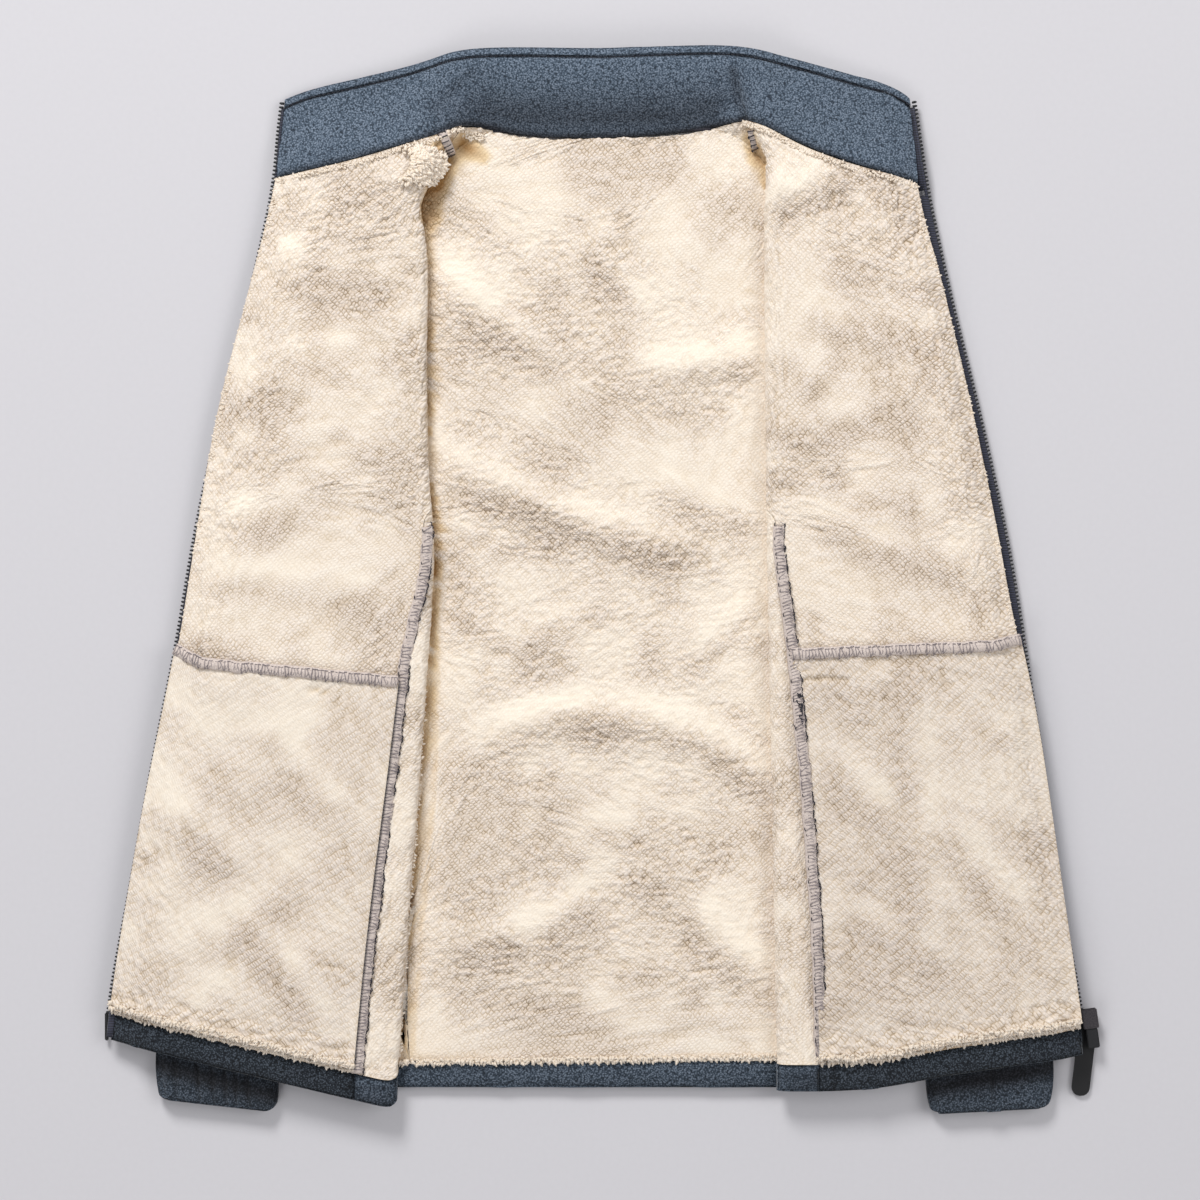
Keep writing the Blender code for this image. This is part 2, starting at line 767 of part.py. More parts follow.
def make_pocket_bag(side):
    """A pocket bag over the lower front, made from the front's points moved out."""
    rows = [r for r in sorted(set(OUTER_ROWS)) if LEVELS[r] <= POCKET_TOP]
    panel = [SURFACES[side.name][r][TOP_SEAM:] for r in rows]
    count = len(panel[0])
    top = []
    for n in range(count):
        y = mix(side.pocket.at_seam, side.pocket.at_zip, n / (count - 1))
        row = max(r for r in range(len(panel) - 1) if panel[r][n].at.y > y)
        above, below = panel[row][n], panel[row + 1][n]
        top.append(between(above, below, (above.at.y - y) / (above.at.y - below.at.y)))
    lowest = min(point.at.y for point in top)
    bag = [top] + [row for row in panel if row[0].at.y < lowest - SEAM_GAP]
    bag[-1] = [between(a, b, 0.25) for a, b in zip(bag[-1], bag[-2])]
    lift = CLOTH / 2 + POCKET_GAP + POCKET_CLOTH / 2
    lifted = []
    for row in bag:
        start = Point(row[0].at + Vector((SEAM_GAP, 0.0, 0.0)), row[0].normal)
        moved = [Point(p.at + p.normal * lift, p.normal) for p in [start] + row[1:]]
        lifted.append([placed(side, point) for point in moved])
    return cloth("pocket_bag_" + side.name, lifted, POCKET_CLOTH, "pocket_pile")


def make_hem_back():
    rows = []
    for r in range(HEM_ROW, len(LEVELS)):
        row = []
        for side in SIDES:
            points = back_side(side, r, False)
            row = list(reversed(points)) if side is RIGHT else row + points[1:]
        rows.append(row)
    return cloth("hem_back", rows, HEM_THICKNESS, "fleece")


def make_hem_front(side):
    end = len(SURFACES[side.name][0]) - 1
    rows = [body_row(side, r, TOP_SEAM, end, True, False) for r in range(HEM_ROW, len(LEVELS))]
    return cloth("hem_" + side.name, rows, HEM_THICKNESS, "fleece")


def flat_tube(ring, height, wall, across, around):
    """Middle of a flattened tube's wall across one ring: over the top, then below."""
    outer = Vector((ring.outer_x, ring.outer_y, 0.0))
    inner = Vector((ring.inner_x, ring.inner_y, 0.0))
    line = (inner - outer).normalized()
    radius = (height - wall) / 2
    start, end = outer + line * height / 2, inner - line * height / 2
    stops = [(start.lerp(end, n / across), 0.0) for n in range(across + 1)]
    stops += [(end, math.pi * n / around) for n in range(1, around)]
    stops += [(end.lerp(start, n / across), math.pi) for n in range(across + 1)]
    stops += [(start, math.pi * (1 + n / around)) for n in range(1, around)]
    points = []
    for base, angle in stops:
        normal = line * math.sin(angle) + UP * math.cos(angle)
        points.append(Point(base + UP * height / 2 + normal * radius, normal))
    return points


def make_sleeve(side):
    rows = []
    for ring in side.sleeve:
        row = flat_tube(ring, SLEEVE_HEIGHT, SLEEVE_CLOTH, 4, 4)
        rows.append([placed(side, point, SEAM_GAP) for point in row])
    return cloth("sleeve_" + side.name, rows, SLEEVE_CLOTH, "fleece", wrap=True)


def make_cuff(side):
    """A gathered cuff: its upper wall swells between the gathers."""
    gathers = 9 if side is RIGHT else 4
    depth = 0.45 if side is RIGHT else 0.3
    across = gathers * 2
    rows = []
    for n, ring in enumerate(side.cuff):
        height = CUFF_HEIGHT if n < len(side.cuff) - 1 else CUFF_HEIGHT - 1.6
        row = []
        for m, point in enumerate(flat_tube(ring, height, CUFF_CLOTH, across, 4)):
            swell = (depth if m % 2 else -depth) if point.normal.z > 0.99 else 0.0
            lift = UP * (swell + (CUFF_HEIGHT - height) / 2)
            row.append(placed(side, Point(point.at + lift, point.normal)))
        rows.append(row)
    return cloth("cuff_" + side.name, rows, CUFF_CLOTH, "fleece", wrap=True)


def neck_line():
    """The top edge of the panels, from the right zip to the left."""
    right = [placed(RIGHT, point) for point in reversed(SURFACES["right"][0])]
    left = [placed(LEFT, point) for point in SURFACES["left"][0]]
    line = right[:1]
    for point in right[1:] + left[1:]:
        if point.at.x > line[-1].at.x + 0.01:
            line.append(point)
    return line


NECK_LINE = neck_line()


def neck_point(x):
    """The point of the panels' top edge at a distance x from the middle."""
    after = next((n for n, point in enumerate(NECK_LINE) if point.at.x >= x), len(NECK_LINE) - 1)
    after = max(after, 1)
    left, right = NECK_LINE[after - 1], NECK_LINE[after]
    t = (x - left.at.x) / (right.at.x - left.at.x)
    return between(left, right, min(max(t, 0.0), 1.0))


def collar_point(stand, share):
    """Middle of the two collar layers, from the neck seam (0) to the top edge (1)."""
    foot = neck_point(stand.x).at
    x = mix(stand.x, stand.top_x, share)
    y = mix(foot.y + COLLAR_GAP, stand.top_y, share)
    z = mix(foot.z, stand.top_z, smooth(share * 1.25))
    middle = smooth((150.0 - abs(x)) / 60.0)
    z += middle * 3.0 * smooth(share / 0.4) * smooth((1.0 - share) / 0.6)
    ends = smooth(share / 0.15) * smooth((1.0 - share) / 0.15)
    return Vector((x, y, z + relief(COLLAR_CREASES, x, y) * ends))


def collar_height(stand):
    """Distance from the neck seam to the top edge."""
    foot = neck_point(stand.x).at
    return math.dist((foot.x, foot.y), (stand.top_x, stand.top_y))


def collar_normal(index, share):
    """Upward normal of the collar at one of its stands."""
    if share == 0.0:
        return neck_point(COLLAR[index].x).normal
    before = COLLAR[max(index - 1, 0)]
    after = COLLAR[min(index + 1, len(COLLAR) - 1)]
    along = collar_point(after, share) - collar_point(before, share)
    up = collar_point(COLLAR[index], min(share + 0.05, 1.0))
    up -= collar_point(COLLAR[index], max(share - 0.05, 0.0))
    return along.cross(up).normalized()


def collar_layer(index, share, out):
    normal = collar_normal(index, share)
    return Point(collar_point(COLLAR[index], share) + normal * out, normal)


def make_collar_inner():
    rows = []
    for index, stand in enumerate(COLLAR):
        end = 1.0 - (BINDING + SEAM_GAP) / collar_height(stand)
        shares = COLLAR_SHARES + (end,)
        rows.append([collar_layer(index, share, COLLAR_SPACING / 2) for share in shares])
    return cloth("collar_inner", rows, FLEECE, "fleece")


def make_collar_outer():
    """The outer collar: under the inner one, round the top edge and over it."""
    turn_steps = 4
    radius = COLLAR_SPACING / 2
    rows = []
    for index, stand in enumerate(COLLAR):
        length = collar_height(stand)
        end = 1.0 - (radius + FLEECE / 2) / length
        normal = collar_normal(index, end)
        centre = collar_point(stand, end)
        ahead = (centre - collar_point(stand, end - 0.1)).normalized()
        shares = COLLAR_SHARES + (1.0 - (BINDING + SEAM_GAP) / length,)
        row = [collar_layer(index, share, -radius) for share in shares]
        for n in range(turn_steps + 1):
            angle = math.pi * n / turn_steps
            bulge = ahead * math.sin(angle) - normal * math.cos(angle)
            row.append(Point(centre + bulge * radius, bulge))
        row.append(collar_layer(index, 1.0 - BINDING / length, radius))
        rows.append([Point(p.at, -p.normal) for p in row[:len(shares)]] + row[len(shares):])
    return cloth("collar_outer", rows, FLEECE, "fleece")


def collar_end_height(side, y):
    """Middle height of the collar at its zip end."""
    stand = COLLAR[0] if side is RIGHT else COLLAR[-1]
    foot = neck_point(stand.x).at.y
    share = (y - foot) / (stand.top_y - foot)
    return collar_point(stand, min(max(share, 0.0), 1.0)).z


def chain_height(side, y):
    """Middle of the teeth: under the cloth's edge, then level with the collar."""
    low = edge_height(side, y) - CHAIN_DROP
    return mix(low, collar_end_height(side, y), smooth((y - 290.0) / 22.0))


def make_zip_tape(side):
    rows = []
    top, bottom, steps = 292.0, -296.0, 20
    for n in range(steps + 1):
        y = mix(top, bottom, n / steps)
        z = edge_height(side, y) - TAPE_DROP
        outer = read(side.edge, "y", "zip", y) - CHAIN_WIDTH - SEAM_GAP
        inner = cloth_edge(side, y) - TAPE_UNDER_CLOTH
        strip = [Point(Vector((x, y, z)), UP) for x in (inner, outer)]
        rows.append([placed(side, point) for point in strip])
    return cloth("zip_tape_" + side.name, rows, TAPE_THICKNESS, "zip_tape")


def make_zip_chain(side):
    rows = []
    top, bottom = 360.0, -298.0
    steps = 28
    for n in range(steps + 1):
        y = mix(top, bottom, n / steps)
        z = chain_height(side, y)
        outer = read(side.edge, "y", "zip", y)
        strip = [Point(Vector((x, y, z)), UP) for x in (outer - CHAIN_WIDTH, outer)]
        rows.append([placed(side, point) for point in strip])
    return cloth("zip_chain_" + side.name, rows, CHAIN_THICKNESS, "zip_teeth")


def block(name, size, centre, finish, bevel=0.0, turn_by=0.0):
    """A block with softened edges, its points already in place."""
    mesh = bpy.data.meshes.new(name)
    bm = bmesh.new()
    bmesh.ops.create_cube(bm, size=1.0)
    bmesh.ops.scale(bm, vec=Vector(size) * MM, verts=bm.verts)
    if bevel:
        bmesh.ops.bevel(bm, geom=bm.edges[:], offset=bevel * MM, segments=2, affect="EDGES")
    place = Matrix.Translation(Vector(centre) * MM) @ Matrix.Rotation(turn_by, 4, "Z")
    bmesh.ops.transform(bm, matrix=place, verts=bm.verts)
    bm.to_mesh(mesh)
    bm.free()
    mesh.shade_smooth()
    mesh.set_sharp_from_angle(angle=math.radians(40))
    return add_object(name, mesh, finish)


def join_by_union(base, others):
    for other in others:
        cut = base.modifiers.new("Join", "BOOLEAN")
        cut.operation = "UNION"
        cut.object = other
        other.hide_render = True
        other.display_type = "WIRE"


def slider_middle():
    x, y = SLIDER_AT
    return Vector((x, y, edge_height(LEFT, y) - CHAIN_DROP))


def turned(offset):
    return slider_middle() + Matrix.Rotation(SLIDER_TURN, 3, "Z") @ Vector(offset)


def hinge_centre():
    drop = PLATE_SPACING / 2 + PLATE_THICKNESS + BRIDGE_REACH / 2
    return turned((0.0, 0.0, -drop))


def make_slider():
    """Two plates with a post between them, and a bridge under the lower plate."""
    plate = (SLIDER_WIDTH, SLIDER_LENGTH, PLATE_THICKNESS)
    offset = (PLATE_SPACING + PLATE_THICKNESS) / 2
    body = block("zip_slider", plate, turned((0, 0, offset)), "gunmetal", 0.5, SLIDER_TURN)
    lower = block("slider_lower", plate, turned((0, 0, -offset)), "gunmetal", 0.5, SLIDER_TURN)
    post_size = (3.2, SLIDER_LENGTH * 0.55, PLATE_SPACING + PLATE_THICKNESS)
    post = block("slider_post", post_size, turned((0, 2.2, 0)), "gunmetal", 0.0, SLIDER_TURN)
    plate_face = PLATE_SPACING / 2 + PLATE_THICKNESS
    leg_height = BRIDGE_REACH + BRIDGE_THICKNESS + PLATE_THICKNESS / 2
    leg_z = -(plate_face - PLATE_THICKNESS / 2 + leg_height / 2)
    leg_size = (BRIDGE_WIDTH, BRIDGE_THICKNESS, leg_height)
    leg_y = (BRIDGE_LENGTH - BRIDGE_THICKNESS) / 2
    legs = [
        block("slider_leg_" + name, leg_size, turned((0, y, leg_z)), "gunmetal", 0.0, SLIDER_TURN)
        for name, y in (("near", -leg_y), ("far", leg_y))
    ]
    crown_z = -(plate_face + BRIDGE_REACH + BRIDGE_THICKNESS / 2)
    crown_size = (BRIDGE_WIDTH, BRIDGE_LENGTH, BRIDGE_THICKNESS)
    crown = block("slider_crown", crown_size, turned((0, 0, crown_z)), "gunmetal", 0.0, SLIDER_TURN)
    join_by_union(body, [post, lower] + legs + [crown])
    return body


def rounded_loop(x0, x1, y0, y1, radius, steps):
    """A rounded rectangle's points, counter-clockwise."""
    corners = ((x1 - radius, y1 - radius, 0), (x0 + radius, y1 - radius, 90),
               (x0 + radius, y0 + radius, 180), (x1 - radius, y0 + radius, 270))
    points = []
    for cx, cy, start in corners:
        for n in range(steps + 1):
            angle = math.radians(start + 90.0 * n / steps)
            points.append((cx + radius * math.cos(angle), cy + radius * math.sin(angle)))
    return points


def make_pull_tab():
    """A flat tab whose top bar lies in the slider's bridge, where its origin is."""
    mesh = bpy.data.meshes.new("zip_pull_tab")
    bm = bmesh.new()
    half = TAB_THICKNESS / 2
    top = BAR_LENGTH / 2
    outer = rounded_loop(-TAB_WIDTH / 2, TAB_WIDTH / 2, top - TAB_LENGTH, top, top * 0.9, 4)
    wide = TAB_WIDTH * 0.46
    tail = rounded_loop(-TAB_WIDTH / 2, TAB_WIDTH / 2, top - TAB_LENGTH, top, wide, 4)
    outer = outer[:len(outer) // 2] + tail[len(tail) // 2:]
    hole_top = -BAR_LENGTH / 2
    hole = rounded_loop(-TAB_HOLE_WIDTH / 2, TAB_HOLE_WIDTH / 2,
                        hole_top - TAB_HOLE_LENGTH, hole_top, 1.0, 4)
    loops = []
    for z in (half, -half):
        for line in (outer, hole):
            loops.append([bm.verts.new(Vector((x, y, z)) * MM) for x, y in line])
    top_outer, top_hole, low_outer, low_hole = loops
    count = len(outer)
    for n in range(count):
        m = (n + 1) % count
        bm.faces.new((top_outer[n], top_outer[m], top_hole[m], top_hole[n]))
        bm.faces.new((low_outer[m], low_outer[n], low_hole[n], low_hole[m]))
        bm.faces.new((low_outer[n], low_outer[m], top_outer[m], top_outer[n]))
        bm.faces.new((top_hole[n], top_hole[m], low_hole[m], low_hole[n]))
    bm.to_mesh(mesh)
    bm.free()
    tab = add_object("zip_pull_tab", mesh, "pull_rubber")
    tab.location = hinge_centre() * MM
    tab.rotation_euler = (TAB_DIP, 0.0, TAB_TURN)
    return tab


def make_box():
    """The box that the slider rests against at the foot of its row."""
    reach = (SLIDER_LENGTH + BOX_SIZE[1]) / 2 + SEAM_GAP
    return block("zip_box", BOX_SIZE, turned((0, -reach, 0)), "zip_teeth", 0.6, SLIDER_TURN)


def make_pin():
    x, y = PIN_AT
    z = edge_height(RIGHT, y) - CHAIN_DROP
    return block("zip_pin", PIN_SIZE, (-x, y, z), "zip_teeth", 0.6)


def main():
    clear_old_objects()
    make_back()
    make_hem_back()
    for side in SIDES:
        make_front(side)
        make_pocket_bag(side)
        make_hem_front(side)
        make_sleeve(side)
        make_cuff(side)
        make_zip_tape(side)
        make_zip_chain(side)
    make_collar_inner()
    make_collar_outer()
    make_slider()
    make_pull_tab()
    make_box()
    make_pin()


main()
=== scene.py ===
"""A fleece jacket with a sherpa pile lining, laid open on its back: its pile, seams, zip and stage."""

import math

import bmesh
import bpy
import numpy as np
from bpy.props import FloatProperty, FloatVectorProperty, PointerProperty
from mathutils import Matrix, Vector
from mathutils.bvhtree import BVHTree
from mathutils.kdtree import KDTree


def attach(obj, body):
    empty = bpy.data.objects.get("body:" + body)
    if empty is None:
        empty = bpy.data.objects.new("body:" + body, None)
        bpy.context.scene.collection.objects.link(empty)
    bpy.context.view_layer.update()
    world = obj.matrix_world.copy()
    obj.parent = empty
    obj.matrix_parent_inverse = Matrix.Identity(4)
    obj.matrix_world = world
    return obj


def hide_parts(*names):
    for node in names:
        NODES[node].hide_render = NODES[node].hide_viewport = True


bl_info = {
    "name": "Fleece Jacket",
    "version": (1, 0, 0),
    "blender": (4, 5, 0),
    "location": "View3D > Sidebar > Jacket",
    "description": "Dresses the jacket's solids with pile, fleece, seams and a zip",
    "category": "Object",
}

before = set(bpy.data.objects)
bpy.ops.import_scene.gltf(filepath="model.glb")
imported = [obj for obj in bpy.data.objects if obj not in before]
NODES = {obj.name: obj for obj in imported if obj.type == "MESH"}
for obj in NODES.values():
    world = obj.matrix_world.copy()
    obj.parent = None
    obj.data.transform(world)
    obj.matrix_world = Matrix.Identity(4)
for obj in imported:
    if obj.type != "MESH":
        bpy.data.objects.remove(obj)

MM = 0.001
RIM_ANGLE = math.radians(62)
SIDES = (("right", -1), ("left", 1))

# Places in mm: sewn tacks on the pocket bags, as (line, width, depth)
BARTACKS = {
    "right": ((((-207, -64), (-194, -67), (-183, -76)), 1.5, 2.0), (((-199, -262), (-184, -264)), 1.4, 1.6),
              (((-240, -40), (-205, -47)), 5.0, 0.8)),
    "left": ((((147, -57), (162, -56), (177, -57)), 1.5, 2.0), (((157, -248), (173, -249)), 1.4, 1.6),
             (((190, -44), (228, -42)), 5.0, 0.7)),
}
# Gathers of the cuffs, as (line, width, depth)
GATHERS = {
    "right": tuple((((x, -325), (x + lean, -375)), width, depth) for x, lean, width, depth in (
        (-307, 1, 1.6, 1.0), (-291.5, 3, 1.2, 1.5), (-280, 1, 1.5, 1.1),
        (-271.5, 2, 1.1, 1.6), (-263, 0, 1.3, 1.2), (-255.5, 2, 1.1, 1.4))),
    "left": ((((283, -325), (283, -350), (284, -362)), 1.3, 1.2), (((262, -340), (300, -342)), 6.0, 0.6)),
}
# Lower corners of the cuffs, as (x, y, way out along x), in mm
CUFF_CORNERS = {"right": ((-320.3, -360.3, -1), (-232.5, -368.5, 1)),
                "left": ((235.3, -369.4, -1), (326.3, -366.2, 1))}
# The hem's lower edge above each cuff, which shades it
CUFF_SHADES = {"right": ((-324.0, -333.0), (-228.0, -359.0)), "left": ((238.0, -352.0), (332.0, -336.0))}
# Where the collar is pressed in, and where seams join the hem bands, as (line, width, depth)
COLLAR_PRESSES = ((((96, 379), (99, 362), (104, 343)), 3.0, 2.2), (((-118, 352), (-94, 375)), 4.5, 1.4),
                  (((-60, 350), (60, 352)), 5.0, -0.5))
HEM_JOINS = ((((-182.5, -330), (-181.5, -352)), 0.9, 0.9), (((168, -330), (168, -356)), 0.9, 0.9))
# Soft folds, as (start, end, bow, width, height)
BACK_FOLDS = (
    ((-74, -92), (108, -116), 26, 14, 0.63), ((-118, 112), (68, 38), -10, 14, 0.67),
    ((-118, 246), (-46, 186), -4, 11, 0.53), ((30, 166), (114, 180), 0, 12, 0.53),
    ((-110, -246), (-6, -210), -9, 12, 0.49), ((28, -190), (114, -268), 5, 13, 0.45),
    ((-108, 60), (-64, 40), 0, 8, 0.36), ((-60, -30), (0, 0), 3, 9, 0.36), ((66, -42), (108, 0), 0, 9, 0.36),
    ((-10, 260), (32, 214), 0, 9, 0.36), ((-104, -4), (-62, -30), 0, 9, 0.36),
    ((-90, 196), (-10, 150), 6, 12, 0.36), ((40, 90), (112, 60), 0, 10, 0.36),
    ((-20, -160), (60, -190), 8, 10, 0.31), ((-70, -280), (10, -300), 4, 10, 0.31),
)
FRONT_FOLDS = {
    "right": (((-236, 250), (-150, 230), 4, 14, 0.50), ((-262, 150), (-176, 190), 0, 14, 0.43),
              ((-270, 60), (-190, 90), -5, 14, 0.50), ((-280, 20), (-160, 0), 6, 12, 0.50)),
    "left": (((118, 284), (172, 306), 0, 12, 0.74), ((150, 210), (240, 190), 5, 14, 0.50),
             ((130, 120), (230, 150), 0, 14, 0.43), ((160, 60), (260, 30), -5, 13, 0.50)),
}
BAG_FOLDS = {
    "right": (((-318, -140), (-256, -184), 0, 13, 0.66), ((-252, -228), (-194, -298), 0, 12, 0.60),
              ((-300, -250), (-230, -210), 4, 13, 0.42), ((-230, -90), (-190, -150), 0, 12, 0.42)),
    "left": (((228, -60), (236, -245), 0, 13, 0.54), ((170, -110), (214, -160), 0, 12, 0.48),
             ((250, -160), (300, -220), 0, 13, 0.48), ((180, -220), (250, -260), 0, 12, 0.42)),
}
# Painted shade in hollows where the pile lies deep, as (line, width, how deep); a negative one takes painted
# shade away
HOLLOW_SHADES = (
    (((-98, 328), (-84, 320)), 7.0, 0.45),
    (((-113, 318), (-116, 300)), 6.0, 0.35),
    (((-116, 328), (-119, 300), (-121, 276)), 8.0, 0.42), (((-96, 330), (-108, 312)), 9.0, 0.30),
    (((108, 334), (112, 318)), 7.0, 0.36), (((-119, 60), (-118, -120), (-136, -330)), 3.0, 0.14),
    (((118, 285), (118, 60), (121, -121), (126, -330)), 9.0, -0.7),
)
# Painted shade in the creases of the collar and across its low middle, as (line, width, depth)
COLLAR_SHADES = ((((-75, 350), (0, 347), (75, 350)), 16.0, 0.42), (((-112, 348), (-98, 352)), 14.0, 0.25),
                 (((96, 379), (99, 362), (104, 343)), 3.5, 0.45), (((-118, 352), (-94, 375)), 5.0, 0.14))
# The shoulder seams' ends at the neck
SHOULDER_ENDS = {
    "right": ((-114.0, 336.0), (-111.5, 331.0), (-109.5, 327.0), (-107.5, 321.0)),
    "left": ((109.0, 338.0), (110.0, 334.0), (111.0, 331.0), (113.0, 324.0)),
}

# The folded side edge of the back on the wearer's right
RIGHT_FOLD = ((-119.5, 58), (-124, -40), (-128, -121), (-135, -207), (-140, -270), (-143.5, -330))
# Where the front hem bands shade the back one
HEM_END_SHADES = ((((-200, -356), (-152, -360)), 11.0, 0.42), (((142, -344), (205, -346)), 11.0, 0.42))

# The corner of the wearer's right front at the neck, where the pile is long and combed out
SHAGGY_CORNER = ((-114.0, 326.0), (-108.5, 321.0), (-107.5, 314.0), (-110.0, 306.0), (-116.0, 298.0))
# Its rows of tips: (how far in, height) past the cloth's edge, then how far in on top of the cloth, in mm
CORNER_EDGE_ROWS = ((2, 15.5), (4, 17.5), (6, 19.0), (8, 20.5))
CORNER_TOP_ROWS = (9, 12, 15, 18, 22)
CORNER_LIFT = 1.7 * MM

# The zip: how far its parts lie in from the middle of the teeth, and the size of its cords and tape ends
TOOTH_INSET = 0.9 * MM
CORD_INSET, CORD_RADIUS, CORD_STEP = 2.0 * MM, 1.35 * MM, 6 * MM
TAPE_END_INSET, TAPE_END_RADIUS, TAPE_END_DROP, TAPE_END_FROM = 4.2 * MM, 2.9 * MM, 0.6 * MM, 292 * MM

# The lower end of the zip tape on the wearer's right, between the zip and the end of the hem: its places,
# how far in the hem's height is read, how far below that it lies (mm), and its radius
TAPE_FOOT = ((-350.5, -289.0), (-351.6, -298.0), (-352.6, -307.0), (-353.4, -315.0))
FOOT_REACH, FOOT_DROP, FOOT_RADIUS = 6.0, 1.6, 2.4 * MM

# A dark cord along the turned seam of the neck, under the collar's lower edge: the seam, and a painted shadow
# under that edge
NECK_SEAM_SHADOW_RADIUS, NECK_SEAM_SHADOW_DROP = 1.5 * MM, 1.7 * MM

# Where the pile of the back is turned up beside the collar on the wearer's right
NECK_PATCH = (((-100.0, 336.5), (-95.0, 334.5), (-90.0, 333.0), (-84.0, 331.5)),
              ((-99.0, 333.0), (-94.0, 331.5), (-88.0, 330.0), (-83.0, 329.0)))
NECK_PATCH_LIFT = 1.4 * MM

# How far apart two solids may be and still share a seam
SEAM_REACH, NECK_REACH, BAG_HEM_REACH, ZIP_REACH = 1.6 * MM, 4.5 * MM, 9 * MM, 15 * MM


# ---------------------------------------------------------------- colours and materials

def linear(code, alpha=1.0):
    """A six-digit sRGB hex colour as linear numbers."""
    shares = [int(code[i:i + 2], 16) / 255 for i in (1, 3, 5)]
    return tuple(c / 12.92 if c <= 0.04045 else ((c + 0.055) / 1.055) ** 2.4 for c in shares) + (alpha,)


def add(tree, kind, inputs=None, links=None, **settings):
    """Adds one node with its settings, its fixed inputs and its links from other nodes' outputs."""
    node = tree.nodes.new(kind)
    for key, value in settings.items():
        setattr(node, key, value)
    for key, value in (inputs or {}).items():
        node.inputs[key].default_value = value
    for key, (other, output) in (links or {}).items():
        tree.links.new(other.outputs[output], node.inputs[key])
    return node


def ramp_stops(node, stops):
    """Sets a colour ramp's stops from places and colours."""
    ramp = node.color_ramp
    while len(ramp.elements) > len(stops):
        ramp.elements.remove(ramp.elements[-1])
    while len(ramp.elements) < len(stops):
        ramp.elements.new(1.0)
    for element, (place, colour) in zip(ramp.elements, stops):
        element.position = place
        element.color = colour
    return node


def grey(value):
    """A grey for a colour ramp."""
    return (value, value, value, 1.0)


def new_material(name):
    """A material with its shader and its place on the piece."""
    made = bpy.data.materials.new(name)
    made.use_nodes = True
    tree = made.node_tree
    tree.nodes.clear()
    out = add(tree, "ShaderNodeOutputMaterial")
    shader = add(tree, "ShaderNodeBsdfPrincipled")
    tree.links.new(shader.outputs["BSDF"], out.inputs["Surface"])
    place = add(tree, "ShaderNodeTexCoord")
    return made, tree, shader, place


